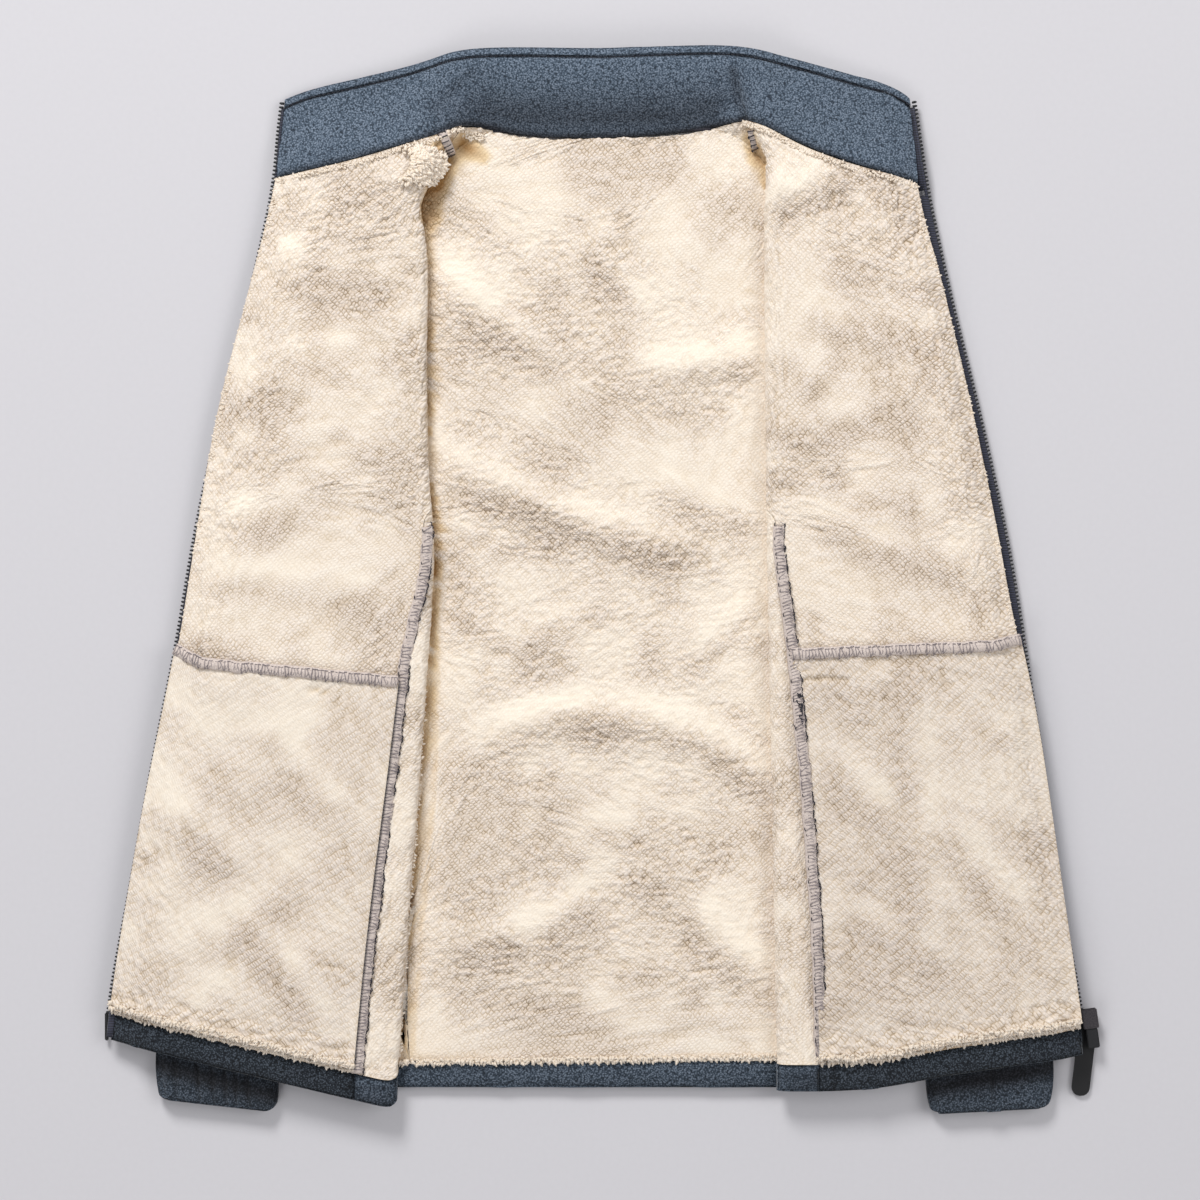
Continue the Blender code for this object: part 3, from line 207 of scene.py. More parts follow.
def sherpa_pile(settings, name="polyester_sherpa_pile", lock=2.3, jitter=0.42, cleft_depth=0.70, tone=1.0):
    """Knitted polyester sherpa, brushed and tumbled into locks: matt cream tips with thin olive clefts between
    them, the clefts and the darker roots being painted shade between the locks. On a fold's lit side the pile
    is smooth and light, a painted highlight; it is greyer with open clefts in random patches and, as painted
    shade, on a fold's shaded side; and where the pile lies deep it turns a painted warm brown shade. The
    pattern reads the piece's own coordinates, in mm, along its lean."""
    made, tree, shader, _ = new_material(name)
    spot = add(tree, "ShaderNodeAttribute", attribute_name="spot")
    cleft_and_shade = add(tree, "ShaderNodeAttribute", attribute_name="cleft_and_shade")
    tip = add(tree, "ShaderNodeAttribute", attribute_name="tip")
    cells = add(tree, "ShaderNodeTexVoronoi", {"Scale": 1 / lock, "Randomness": jitter},
                {"Vector": (spot, "Vector")}, feature="DISTANCE_TO_EDGE", voronoi_dimensions="2D")
    line = add(tree, "ShaderNodeMapRange", {"From Max": 0.19, "To Min": 1.0, "To Max": 0.0},
               {"Value": (cells, "Distance")}, interpolation_type="SMOOTHSTEP")
    # the clefts come and go along their way
    wander = add(tree, "ShaderNodeTexNoise", {"Scale": 0.6 / lock, "Detail": 1.0}, {"Vector": (spot, "Vector")})
    broken = add(tree, "ShaderNodeMapRange", {"From Min": 0.36, "From Max": 0.58, "To Min": 0.2},
                 {"Value": (wander, "Fac")}, interpolation_type="SMOOTHSTEP")
    drawn = add(tree, "ShaderNodeMath", None, {0: (line, 0), 1: (broken, 0)}, operation="MULTIPLY")
    # painted shade: thin dark clefts drawn between the locks
    dark = add(tree, "ShaderNodeMath", None, {0: (drawn, 0), 1: (cleft_and_shade, "Fac")}, operation="MULTIPLY")
    # single fibres bunch at about 1.1 mm, which is the finest that the render shows
    fibre = add(tree, "ShaderNodeTexNoise", {"Scale": 1 / 1.1, "Detail": 1.0, "Roughness": 0.6},
                {"Vector": (spot, "Vector")})
    # painted shade: the lower parts of the locks and the clefts between them go towards the darker root colour
    base = add(tree, "ShaderNodeMath", {1: 0.5, 2: 0.5}, {0: (tip, "Fac")}, operation="MULTIPLY_ADD")
    cut = add(tree, "ShaderNodeMath", {1: -cleft_depth}, {0: (dark, 0), 2: (base, 0)}, operation="MULTIPLY_ADD")
    level = add(tree, "ShaderNodeMath", {1: 0.30}, {0: (fibre, "Fac"), 2: (cut, 0)}, operation="MULTIPLY_ADD")
    scaled = add(tree, "ShaderNodeMapRange", {"From Min": 0.15, "From Max": 1.18}, {"Value": (level, 0)})
    colour = ramp_stops(add(tree, "ShaderNodeValToRGB", None, {"Fac": (scaled, 0)}), [
        (place, tuple(c * tone for c in tuple(shade)) + (1.0,)) for place, shade in (
            (0.0, settings.root_shade_colour), (0.55, settings.middle_colour), (0.86, settings.tip_colour),
            (1.0, linear("#f5ece0")[:3]))])
    # painted shade: the pile greys where its clefts open, in random patches and on the folds' shaded sides, and
    # lightens on their lit sides
    cleft_tone_and_shade = ramp_stops(add(tree, "ShaderNodeValToRGB", None, {"Fac": (cleft_and_shade, "Fac")}), [
        (0.10, (1.0, 0.985, 0.945, 1.0)), (0.5, (0.95, 0.93, 0.92, 1.0)), (1.0, (0.87, 0.84, 0.84, 1.0))])
    # painted shade: pile that little light from above reaches, and the listed hollows, turn a warm brown
    deep = add(tree, "ShaderNodeAttribute", attribute_name="open")
    hollow_shade_tint = ramp_stops(add(tree, "ShaderNodeValToRGB", None, {"Fac": (deep, "Fac")}), [
        (0.20, tuple(settings.hollow_shade_colour) + (1,)), (0.62, linear("#f1e3c8")), (0.84, grey(1.0))])
    toned = add(tree, "ShaderNodeMix", {"Factor": 1.0}, data_type="RGBA", blend_type="MULTIPLY")
    warmed = add(tree, "ShaderNodeMix", {"Factor": 1.0}, data_type="RGBA", blend_type="MULTIPLY")
    for out, into in ((colour.outputs["Color"], toned.inputs[6]), (cleft_tone_and_shade.outputs["Color"], toned.inputs[7]),
                      (toned.outputs[2], warmed.inputs[6]), (hollow_shade_tint.outputs["Color"], warmed.inputs[7]),
                      (warmed.outputs[2], shader.inputs["Base Color"])):
        tree.links.new(out, into)
    dome = add(tree, "ShaderNodeMapRange", {"From Max": 0.42}, {"Value": (cells, "Distance")},
               interpolation_type="SMOOTHSTEP")
    share = add(tree, "ShaderNodeMath", {1: 0.75, 2: 0.25}, {0: (cleft_and_shade, "Fac")}, operation="MULTIPLY_ADD")
    domed = add(tree, "ShaderNodeMath", None, {0: (dome, 0), 1: (share, 0)}, operation="MULTIPLY")
    height = add(tree, "ShaderNodeMath", {1: 0.35}, {0: (fibre, "Fac"), 2: (domed, 0)},
                 operation="MULTIPLY_ADD")
    bump = add(tree, "ShaderNodeBump", {"Strength": 0.6, "Distance": 0.8 * MM}, {"Height": (height, 0)})
    tree.links.new(bump.outputs["Normal"], shader.inputs["Normal"])
    shader.inputs["Roughness"].default_value = 0.92
    shader.inputs["IOR"].default_value = 1.45
    shader.inputs["Specular IOR Level"].default_value = 0.2
    shader.inputs["Sheen Weight"].default_value = 0.10
    shader.inputs["Sheen Roughness"].default_value = 0.6
    return made


def fleece(settings, name="polyester_fleece", shade=1.0):
    """Knitted polyester fleece with a sheared, pebbled face: small matt knots of fibre, light on top and dark
    between, in a dusty blue grey, with painted shade that darkens it in creases, along seams and under edges
    that shade it."""
    made, tree, shader, place = new_material(name)
    size = settings.pebble
    knots = add(tree, "ShaderNodeTexVoronoi", {"Scale": 1 / size, "Randomness": 1.0},
                {"Vector": (place, "Object")}, feature="F1")
    fuzz = add(tree, "ShaderNodeTexNoise", {"Scale": 0.8 / size, "Detail": 2.0, "Roughness": 0.7},
               {"Vector": (place, "Object")})
    height = add(tree, "ShaderNodeMath", {1: -0.75, 2: 0.62}, {0: (knots, "Distance")},
                 operation="MULTIPLY_ADD")
    fuzzed = add(tree, "ShaderNodeMath", {1: 0.75}, {0: (fuzz, "Fac"), 2: (height, 0)},
                 operation="MULTIPLY_ADD")
    dark, mid, light = (tuple(c * share for c in tuple(colour)) + (1.0,) for colour, share in
                        ((settings.dark_colour, shade), (settings.middle_colour, shade),
                         (settings.light_colour, shade ** 0.6)))
    colour = ramp_stops(add(tree, "ShaderNodeValToRGB", None, {"Fac": (fuzzed, 0)}),
                        [(0.34, dark), (0.60, mid), (0.86, light)])
    patch = add(tree, "ShaderNodeTexNoise", {"Scale": 1 / (38 * MM), "Detail": 2.0},
                {"Vector": (place, "Object")})
    tone = ramp_stops(add(tree, "ShaderNodeValToRGB", None, {"Fac": (patch, "Fac")}),
                      [(0.3, grey(0.90)), (0.7, grey(1.0))])
    toned = add(tree, "ShaderNodeMix", {"Factor": 1.0}, data_type="RGBA", blend_type="MULTIPLY")
    # painted shade: the shade attribute darkens the colour in creases, along seams and under edges that shade
    # the cloth
    pressed = add(tree, "ShaderNodeAttribute", attribute_name="shade")
    painted_shade_ramp = ramp_stops(add(tree, "ShaderNodeValToRGB", None, {"Fac": (pressed, "Fac")}),
                         [(0.0, (0.20, 0.17, 0.17, 1.0)), (1.0, grey(1.0))])
    deepened = add(tree, "ShaderNodeMix", {"Factor": 1.0}, data_type="RGBA", blend_type="MULTIPLY")
    for out, into in ((colour.outputs["Color"], toned.inputs[6]), (tone.outputs["Color"], toned.inputs[7]),
                      (toned.outputs[2], deepened.inputs[6]), (painted_shade_ramp.outputs["Color"], deepened.inputs[7]),
                      (deepened.outputs[2], shader.inputs["Base Color"])):
        tree.links.new(out, into)
    bump = add(tree, "ShaderNodeBump", {"Strength": 0.7, "Distance": 0.6 * MM}, {"Height": (fuzzed, 0)})
    tree.links.new(bump.outputs["Normal"], shader.inputs["Normal"])
    shader.inputs["Roughness"].default_value = 0.88
    shader.inputs["IOR"].default_value = 1.45
    shader.inputs["Specular IOR Level"].default_value = 0.25
    shader.inputs["Sheen Weight"].default_value = 0.2
    shader.inputs["Sheen Roughness"].default_value = 0.5
    return made


def woven_tape(settings):
    """Woven polyester zip tape: tight navy-black twill with fine cross ribs and a soft sheen."""
    made, tree, shader, place = new_material("polyester_zip_tape")
    # ribs at 0.9 mm, which is about twice as coarse as the real weave, so that they show
    rib = add(tree, "ShaderNodeTexWave", {"Scale": 1 / (0.9 * MM) / 6.28, "Distortion": 0.4, "Detail": 1.0},
              {"Vector": (place, "Object")}, wave_type="BANDS", bands_direction="Y")
    fuzz = add(tree, "ShaderNodeTexNoise", {"Scale": 1 / (0.8 * MM), "Detail": 2.0},
               {"Vector": (place, "Object")})
    summed = add(tree, "ShaderNodeMath", {1: 0.6}, {0: (fuzz, "Fac"), 2: (rib, "Fac")},
                 operation="MULTIPLY_ADD")
    colour = ramp_stops(add(tree, "ShaderNodeValToRGB", None, {"Fac": (summed, 0)}), [
        (0.3, linear("#14151d")), (1.0, tuple(settings.tape_colour) + (1,))])
    tree.links.new(colour.outputs["Color"], shader.inputs["Base Color"])
    bump = add(tree, "ShaderNodeBump", {"Strength": 0.5, "Distance": 0.25 * MM}, {"Height": (summed, 0)})
    tree.links.new(bump.outputs["Normal"], shader.inputs["Normal"])
    shader.inputs["Roughness"].default_value = 0.7
    shader.inputs["Sheen Weight"].default_value = 0.15
    return made


def plain_finish(name, light, dark, rough, grain, depth, metallic=0.0):
    """A hard or spun finish with a fine grain: its colour moves between two tones with the grain."""
    made, tree, shader, place = new_material(name)
    noise = add(tree, "ShaderNodeTexNoise", {"Scale": 1 / grain, "Detail": 3.0, "Roughness": 0.6},
                {"Vector": (place, "Object")})
    colour = ramp_stops(add(tree, "ShaderNodeValToRGB", None, {"Fac": (noise, "Fac")}),
                        [(0.3, linear(dark)), (0.7, linear(light))])
    tree.links.new(colour.outputs["Color"], shader.inputs["Base Color"])
    roughness = add(tree, "ShaderNodeMapRange", {"To Min": rough - 0.06, "To Max": rough + 0.08},
                    {"Value": (noise, "Fac")})
    tree.links.new(roughness.outputs[0], shader.inputs["Roughness"])
    bump = add(tree, "ShaderNodeBump", {"Strength": 0.4, "Distance": depth}, {"Height": (noise, "Fac")})
    tree.links.new(bump.outputs["Normal"], shader.inputs["Normal"])
    shader.inputs["Metallic"].default_value = metallic
    return made


def finishes():
    """All the finishes, made once."""
    scene = bpy.context.scene
    pile, blue, zipper = scene.jacket_pile, scene.jacket_fleece, scene.jacket_zip
    if "polyester_sherpa_pile" not in bpy.data.materials:
        sherpa_pile(pile)
        # the pocket bags' sherpa, brushed one way: closer, more even locks, a little greyer
        for side, tone in (("right", 0.95), ("left", 0.93)):
            sherpa_pile(pile, f"brushed_pocket_pile_{side}", 2.0, 0.34, 0.62, tone)
        # sherpa combed out to single tips at a corner: the lightest of the pile
        sherpa_pile(pile, "combed_sherpa_pile", tone=1.07)
        fleece(blue)
        # the same fleece folded in two as bands, in darker copies: painted shade for bands that turn away from
        # the light
        for name, shade in (("band", 0.58), ("cuff", 0.40), ("front_hem", 0.16)):
            fleece(blue, f"polyester_fleece_{name}", shade)
        woven_tape(zipper)
        # moulded polyoxymethylene teeth: black with a dull moulded gloss
        plain_finish("black_moulded_teeth", "#17181c", "#08080a", 0.5, 1.2 * MM, 0.05 * MM)
        # spun polyester thread, navy, matt and a little hairy
        plain_finish("navy_thread", "#34323c", "#121218", 0.8, 0.6 * MM, 0.1 * MM)
        # the same thread in grey where it wraps the pale cut edge
        plain_finish("grey_thread", "#aaa0a2", "#6f6669", 0.8, 0.6 * MM, 0.1 * MM)
        # the cut and trimmed edge of the pile cloth, pressed flat under the stitches
        plain_finish("trimmed_cloth_edge", "#dccfc7", "#b3a59c", 0.9, 1.0 * MM, 0.25 * MM)
        # die-cast zinc slider, plated dark: satin gunmetal
        plain_finish("gunmetal_zinc", "#6c6769", "#4b484c", 0.34, 0.9 * MM, 0.02 * MM, metallic=1.0)
        # moulded soft rubber pull, matt black
        plain_finish("black_rubber", "#0e0e10", "#060607", 0.62, 0.7 * MM, 0.04 * MM)
    return bpy.data.materials


# ---------------------------------------------------------------- noise, in millimetres

def hashed(i, j, k, seed):
    """A repeatable number from 0 to 1 for a lattice point."""
    n = (i * 73856093) ^ (j * 19349663) ^ (k * 83492791) ^ (seed * 49979693)
    n = (n ^ (n >> 13)) & 0xFFFFFFFF
    n = (n * 1274126177 + 1013904223) & 0xFFFFFFFF
    n = n ^ (n >> 16)
    n = (n * 2246822519) & 0xFFFFFFFF
    n = n ^ (n >> 15)
    return (n & 0xFFFFFF) / float(0x1000000)


def soft_noise(points, size, seed):
    """Smooth noise from 0 to 1 at points, in cells of the given size."""
    p = points / size
    low = np.floor(p).astype(np.int64)
    t = p - low
    t = t * t * (3 - 2 * t)
    total = np.zeros(len(points))
    for dx in (0, 1):
        for dy in (0, 1):
            for dz in (0, 1):
                share = (np.where(dx, t[:, 0], 1 - t[:, 0]) * np.where(dy, t[:, 1], 1 - t[:, 1])
                         * np.where(dz, t[:, 2], 1 - t[:, 2]))
                total += share * hashed(low[:, 0] + dx, low[:, 1] + dy, low[:, 2] + dz, seed)
    return total


def locks(points, spacing, half_length, half_width, lean, spread, seed):
    """Height, about 0 to 1, of overlapping long locks of pile at points; lean is their mean direction."""
    p = points / spacing
    low = np.floor(p).astype(np.int64)
    best = np.full(len(points), -9.0)
    for dx in (-1, 0, 1):
        for dy in (-1, 0, 1):
            for dz in (-1, 0, 1):
                i, j, k = low[:, 0] + dx, low[:, 1] + dy, low[:, 2] + dz
                offset = np.stack([i + hashed(i, j, k, seed), j + hashed(i, j, k, seed + 1),
                                   k + hashed(i, j, k, seed + 2)], 1)
                d = (p - offset) * spacing
                angle = lean + (hashed(i, j, k, seed + 3) - 0.5) * spread
                c, s = np.cos(angle), np.sin(angle)
                along = d[:, 0] * c + d[:, 1] * s
                across = -d[:, 0] * s + d[:, 1] * c
                # a lock curls to one side along its length
                across = across - (hashed(i, j, k, seed + 4) - 0.5) * along * along * 0.22
                top = 0.72 + 0.55 * hashed(i, j, k, seed + 5)
                h = top - (along / half_length) ** 2 - (across / half_width) ** 2 - (d[:, 2] / 3.2) ** 2
                best = np.maximum(best, h)
    return best


# ---------------------------------------------------------------- meshes

def free_selection():
    """Leaves edit mode and selects nothing."""
    if bpy.context.object and bpy.context.object.mode != "OBJECT":
        bpy.ops.object.mode_set(mode="OBJECT")
    bpy.ops.object.select_all(action="DESELECT")


def take_up(piece):
    """Selects only this piece and makes it active."""
    free_selection()
    piece.hide_viewport = False
    piece.select_set(True)
    bpy.context.view_layer.objects.active = piece


def apply_modifier(piece, kind, **settings):
    """Adds a modifier to a piece and applies it."""
    take_up(piece)
    modifier = piece.modifiers.new(kind.lower(), kind)
    for key, value in settings.items():
        setattr(modifier, key, value)
    bpy.ops.object.modifier_apply(modifier=modifier.name)


def new_piece(name, bm, materials=()):
    """A new object of a made mesh, with its finishes."""
    mesh = bpy.data.meshes.new(name)
    bm.to_mesh(mesh)
    bm.free()
    piece = bpy.data.objects.new(name, mesh)
    bpy.context.scene.collection.objects.link(piece)
    for material in materials:
        mesh.materials.append(finishes()[material])
    return piece


def merged(node):
    """A copy of a solid's mesh with its points merged and its triangles paired."""
    bm = bmesh.new()
    bm.from_mesh(NODES[node].data)
    bmesh.ops.remove_doubles(bm, verts=bm.verts, dist=2e-6)
    bmesh.ops.join_triangles(bm, faces=bm.faces, angle_face_threshold=math.radians(40),
                             angle_shape_threshold=math.radians(120))
    for face in bm.faces:
        face.smooth = True
    bm.verts.ensure_lookup_table()
    bm.edges.ensure_lookup_table()
    bm.faces.ensure_lookup_table()
    return bm


def rim_edges(bm):
    """The sharp edges, where a wall of cloth turns over its rim."""
    return [e for e in bm.edges if len(e.link_faces) == 2 and e.calc_face_angle(0) > RIM_ANGLE]


def one_side(bm):
    """The faces on the side of a cloth that is seen from above, found on from there across gentle edges."""
    rims = set(rim_edges(bm))
    top = max(f.calc_center_median().z for f in bm.faces)
    todo = [f for f in bm.faces if f.normal.z > 0.7 and (seen_from_above(f.calc_center_median(), f.normal)
                                                         or f.calc_center_median().z > top - 0.5 * MM)]
    found = set(todo)
    while todo:
        for edge in todo.pop().edges:
            if edge in rims:
                continue
            for face in edge.link_faces:
                if face not in found:
                    found.add(face)
                    todo.append(face)
    return found


_trees = {}


def tree_of(*nodes):
    """A search tree over the faces of solids."""
    if nodes not in _trees:
        points, faces = [], []
        for node in nodes or sorted(NODES):
            mesh = NODES[node].data
            base = len(points)
            points += [tuple(v.co) for v in mesh.vertices]
            faces += [tuple(base + i for i in p.vertices) for p in mesh.polygons]
        _trees[nodes] = BVHTree.FromPolygons(points, faces)
    return _trees[nodes]


def seen_from_above(point, normal, clear=1.2 * MM):
    """Whether no solid lies above a point."""
    start = point + normal * clear
    return tree_of().ray_cast(start, Vector((0, 0, 1)), 0.2)[0] is None


def top_at(x, y, *nodes, default=None):
    """The highest point of the solids at x, y."""
    hit = tree_of(*nodes).ray_cast(Vector((x, y, 0.3)), Vector((0, 0, -1)), 1.0)[0]
    return hit.z if hit is not None else default


def openness(point, normal, reach=45 * MM):
    """Share of the light from above that reaches a point of the solids, from 0 to 1."""
    start = point + normal * 1.6 * MM
    free = total = 0.0
    for ray in SKY:
        total += ray.z
        hit, face_normal, _, far = tree_of().ray_cast(start, ray, reach)
        blocked = hit is not None and face_normal.dot(ray) < 0
        free += ray.z * (min(far / reach, 1.0) * 0.5 if blocked else 1.0)
    return free / total


SKY = [Vector((math.cos(turn) * math.cos(rise), math.sin(turn) * math.cos(rise), math.sin(rise)))
       for rise, count in ((math.radians(18), 8), (math.radians(42), 6), (math.radians(68), 4))
       for turn in (2 * math.pi * (n + 0.3) / count for n in range(count))] + [Vector((0, 0, 1))]


FINE = 2.2 * MM    # edges shorter than this are fine enough already


def cloth_piece(node, name, materials, levels, cuts, sides=True):
    """A cloth solid's copy, smoothed and then cut finer where it is seen. Its first finish is on the side
    that is seen from above, its second on the other side and the rims."""
    bm = merged(node)
    crease = bm.edges.layers.float.new("crease_edge")
    for edge in rim_edges(bm):
        edge[crease] = 1.0
        edge.smooth = False
    if sides:
        upper = one_side(bm)
        for face in bm.faces:
            face.material_index = 0 if face in upper else 1
    piece = new_piece(name, bm, materials)
    if levels:
        apply_modifier(piece, "SUBSURF", levels=levels, render_levels=levels)
    bm = bmesh.new()
    bm.from_mesh(piece.data)
    bm.normal_update()
    if sides:
        for face in bm.faces:
            if face.material_index and face.normal.z > 0.15 and seen_from_above(face.calc_center_median(),
                                                                                  face.normal, 0.2 * MM):
                face.material_index = 0
    seen = [f for f in bm.faces if f.material_index == 0
            and seen_from_above(f.calc_center_median(), f.normal)]
    layer = bm.verts.layers.float.new("open")
    shown = {v for f in seen for v in f.verts}
    for vert in bm.verts:
        vert[layer] = openness(vert.co, vert.normal) if vert in shown else 0.7
    if cuts:
        edges = {e for f in seen for e in f.edges if e.calc_length() > FINE}
        bmesh.ops.subdivide_edges(bm, edges=list(edges), cuts=cuts, use_grid_fill=True)
        bmesh.ops.triangulate(bm, faces=[f for f in bm.faces if len(f.verts) > 4])
    bm.to_mesh(piece.data)
    bm.free()
    piece.data.polygons.foreach_set("use_smooth", [True] * len(piece.data.polygons))
    store(piece, "shade", np.ones(len(piece.data.vertices)))
    return piece


def points_of(piece):
    """A piece's points and their normals."""
    mesh = piece.data
    co = np.zeros(len(mesh.vertices) * 3)
    mesh.vertices.foreach_get("co", co)
    no = np.zeros(len(mesh.vertices) * 3)
    mesh.vertex_normals.foreach_get("vector", no)
    return co.reshape(-1, 3), no.reshape(-1, 3)


def set_points(piece, co):
    """Moves a piece's points."""
    piece.data.vertices.foreach_set("co", co.reshape(-1))
    piece.data.update()


def side_normals(piece):
    """Normals from the faces with the first finish alone, and a weight: 1 for points that only they use, 0
    for those on a rim, and -1 for the rest."""
    mesh = piece.data
    count = len(mesh.polygons)
    loops = np.zeros(len(mesh.loops), int)
    mesh.loops.foreach_get("vertex_index", loops)
    totals, finish = np.zeros(count, int), np.zeros(count, int)
    mesh.polygons.foreach_get("loop_total", totals)
    mesh.polygons.foreach_get("material_index", finish)
    normals = np.zeros(count * 3)
    mesh.polygons.foreach_get("normal", normals)
    owner = np.repeat(finish, totals)
    each = np.repeat(normals.reshape(-1, 3), totals, axis=0)
    summed = np.zeros((len(mesh.vertices), 3))
    mine, others = owner == 0, owner != 0
    np.add.at(summed, loops[mine], each[mine])
    used = np.zeros(len(mesh.vertices), bool)
    shared = np.zeros(len(mesh.vertices), bool)
    used[loops[mine]] = True
    shared[loops[others]] = True
    summed /= np.maximum(np.linalg.norm(summed, axis=1), 1e-9)[:, None]
    return summed, np.where(used, np.where(shared, 0.0, 1.0), -1.0)


def store(piece, name, values):
    """Keeps one number for each point."""
    layer = piece.data.attributes.get(name) or piece.data.attributes.new(name, "FLOAT", "POINT")
    layer.data.foreach_set("value", np.asarray(values, np.float32))


def along_line(points, line):
    """Distance in plan from points to a line of places, and the share of its length there."""
    line = np.asarray(line, float)[:, :2]
    steps = np.linalg.norm(np.diff(line, axis=0), axis=1)
    total, best, share = steps.sum(), np.full(len(points), 9e9), np.zeros(len(points))
    run = 0.0
    for a, b, step in zip(line[:-1], line[1:], steps):
        d = b - a
        t = np.clip(((points[:, :2] - a) @ d) / max(step * step, 1e-12), 0, 1)
        off = points[:, :2] - (a + t[:, None] * d)
        far = np.hypot(off[:, 0], off[:, 1])
        closer = far < best
        best = np.where(closer, far, best)
        share = np.where(closer, (run + t * step) / total, share)
        run += step
    return best, share


def swells(mm, folds):
    """Soft folds at points: their height in mm, and how far each point lies on their shaded side."""
    high, shade = np.zeros(len(mm)), np.zeros(len(mm))
    for (x0, y0), (x1, y1), bow, width, height in folds:
        dx, dy = x1 - x0, y1 - y0
        length = math.hypot(dx, dy)
        along = ((mm[:, 0] - x0) * dx + (mm[:, 1] - y0) * dy) / length ** 2
        across = ((mm[:, 1] - y0) * dx - (mm[:, 0] - x0) * dy) / length
        across = (across - bow * 4 * along * (1 - along)) * (1 if dx > 0 else -1)
        t = np.clip(np.minimum(along, 1 - along) / 0.25 + 0.5, 0, 1)
        ends = t * t * (3 - 2 * t)
        ridge = ends * np.exp(-(across / width) ** 2)
        high += height * ridge
        shade += height * ends * np.exp(-((across + width * 1.15) / (width * 0.8)) ** 2)
        shade -= height * 0.8 * ends * np.exp(-((across - width * 0.5) / (width * 0.7)) ** 2)
    return high, shade


def store_vector(piece, name, values):
    """Keeps three numbers for each point."""
    layer = piece.data.attributes.get(name) or piece.data.attributes.new(name, "FLOAT_VECTOR", "POINT")
    layer.data.foreach_set("vector", np.asarray(values, np.float32).reshape(-1))


# Sizes of the pile in mm: how its locks wander, where it is calm or curly, and its low waves
WARP_SIZE, WARP = 22.0, 7.0
LEAN_SIZE, SWIRL_SIZE = 70.0, 7.0
CALM_PATCHES = ((46.0, 0.6, 70), (17.0, 0.4, 71))                  # (size, share, seed)
LOW_WAVES = ((55.0, 1.5, 82), (26.0, 1.0, 80), (11.0, 0.8, 81))    # (size, height, seed)
# The unbrushed strip above the hem: (spacing, half length, half width) of its curls, and how they turn
CURLS, CURL_LEAN, CURL_SPREAD = (5.0, 4.2, 3.3), 0.9, 2.6
STRIP_WIDTH, STRIP_FADE, STRIP_RAGGED = 23.0, 3.0, 8


def raise_pile(piece, depth, spacing, half_length, half_width, lean, spread, seed, lines=(), strip=None,
               rim_drop=0.2 * MM, folds=(), brushed=0.0, deep=(), worn=0.0):
    """Raises the pile of a cloth piece in locks, along its normals. It keeps each point's height as tip, which
    the finish turns into painted shade low in the locks; how far its clefts open, with painted shade on the
    folds' shaded sides, as the cleft attribute; and its coordinates along the lean as spot. lines are sewn or
    pressed into it; strip tells where a brushed pile is left curly; folds are soft folds; deep are hollows of
    painted shade."""
    co, _ = points_of(piece)
    no, side = side_normals(piece)
    mm = co / MM
    warp = np.stack([soft_noise(mm, WARP_SIZE, seed + 50 + i) - 0.5 for i in range(3)], 1) * WARP
    lean_here = lean + (soft_noise(mm, LEAN_SIZE, seed + 60) - 0.5) * (1.6 - 1.1 * brushed)
    h = locks(mm + warp, spacing, half_length, half_width, lean_here, spread, seed)
    calm = sum(soft_noise(mm, size, seed + more) * share for size, share, more in CALM_PATCHES)
    high, shade = swells(mm, folds)
    # painted shade: the clefts open and the pile greys on each fold's shaded side, and it smooths and lightens
    # on the lit side
    rough = np.clip((calm - 0.34) / 0.32, 0, 1) * 0.60 + 0.26 + worn + 0.62 * shade
    if strip is not None:
        share = strip(mm)
        curls = locks(mm + warp, *CURLS, lean_here + CURL_LEAN, CURL_SPREAD, seed + 7)
        h = h * (1 - share) + curls * share
        depth = depth * (1 + 0.6 * share)
        rough = rough * (1 - share) + 0.72 * share
    rough = np.clip(rough, 0.06, 1.0)
    strength = 0.40 + 0.85 * rough
    h = np.clip(h, -0.35, 1.25)
    pressed = grooves(mm, lines)
    # painted shade: the lower parts of the locks, the sewn and pressed lines and the folds' shaded sides get a
    # lower tip, which the finish colours darker
    tip = np.clip(1 - (0.95 - h) * 0.42 * strength - pressed * 0.30 - 0.05 * shade, 0, 1)
    waves = sum((soft_noise(mm, size, seed + more) - 0.5) * height for size, height, more in LOW_WAVES)
    low = (waves - pressed + high) * MM
    upright = np.clip((no[:, 2] + 0.25) / 0.5, 0, 1)
    level = np.clip((no[:, 2] - 0.1) / 0.6, 0, 1)
    rise = (h - 0.78) * depth * strength * upright + low * level
    move = np.where(side > 0, rise, np.where(side == 0, -rim_drop, 0.0))
    moved = co + no * move[:, None]
    moved[:, 2] = np.maximum(moved[:, 2], np.minimum(co[:, 2], 0.2 * MM))
    set_points(piece, moved)
    store(piece, "tip", np.where(side > 0, tip, 0.6))
    store(piece, "cleft_and_shade", rough)
    swirl = np.stack([soft_noise(mm, SWIRL_SIZE, seed + 90 + i) - 0.5 for i in range(2)], 1)
    swirl = swirl * (1.7 - 0.6 * brushed)
    spot = mm[:, :2] + warp[:, :2] * 0.5 + swirl + mm[:, 2:] * 0.7
    c, s = math.cos(lean), math.sin(lean)
    store_vector(piece, "spot", np.stack([(spot[:, 0] * c + spot[:, 1] * s) * (0.72 - 0.27 * brushed),
                                          -spot[:, 0] * s + spot[:, 1] * c, mm[:, 2] * 0], 1))
    # painted shade: the hollows lower the share of light kept for the pile, which its finish turns brown
    if deep:
        layer = piece.data.attributes["open"]
        opened = np.zeros(len(mm))
        layer.data.foreach_get("value", opened)
        store(piece, "open", np.clip(opened - grooves(mm, deep), 0.05, 1))


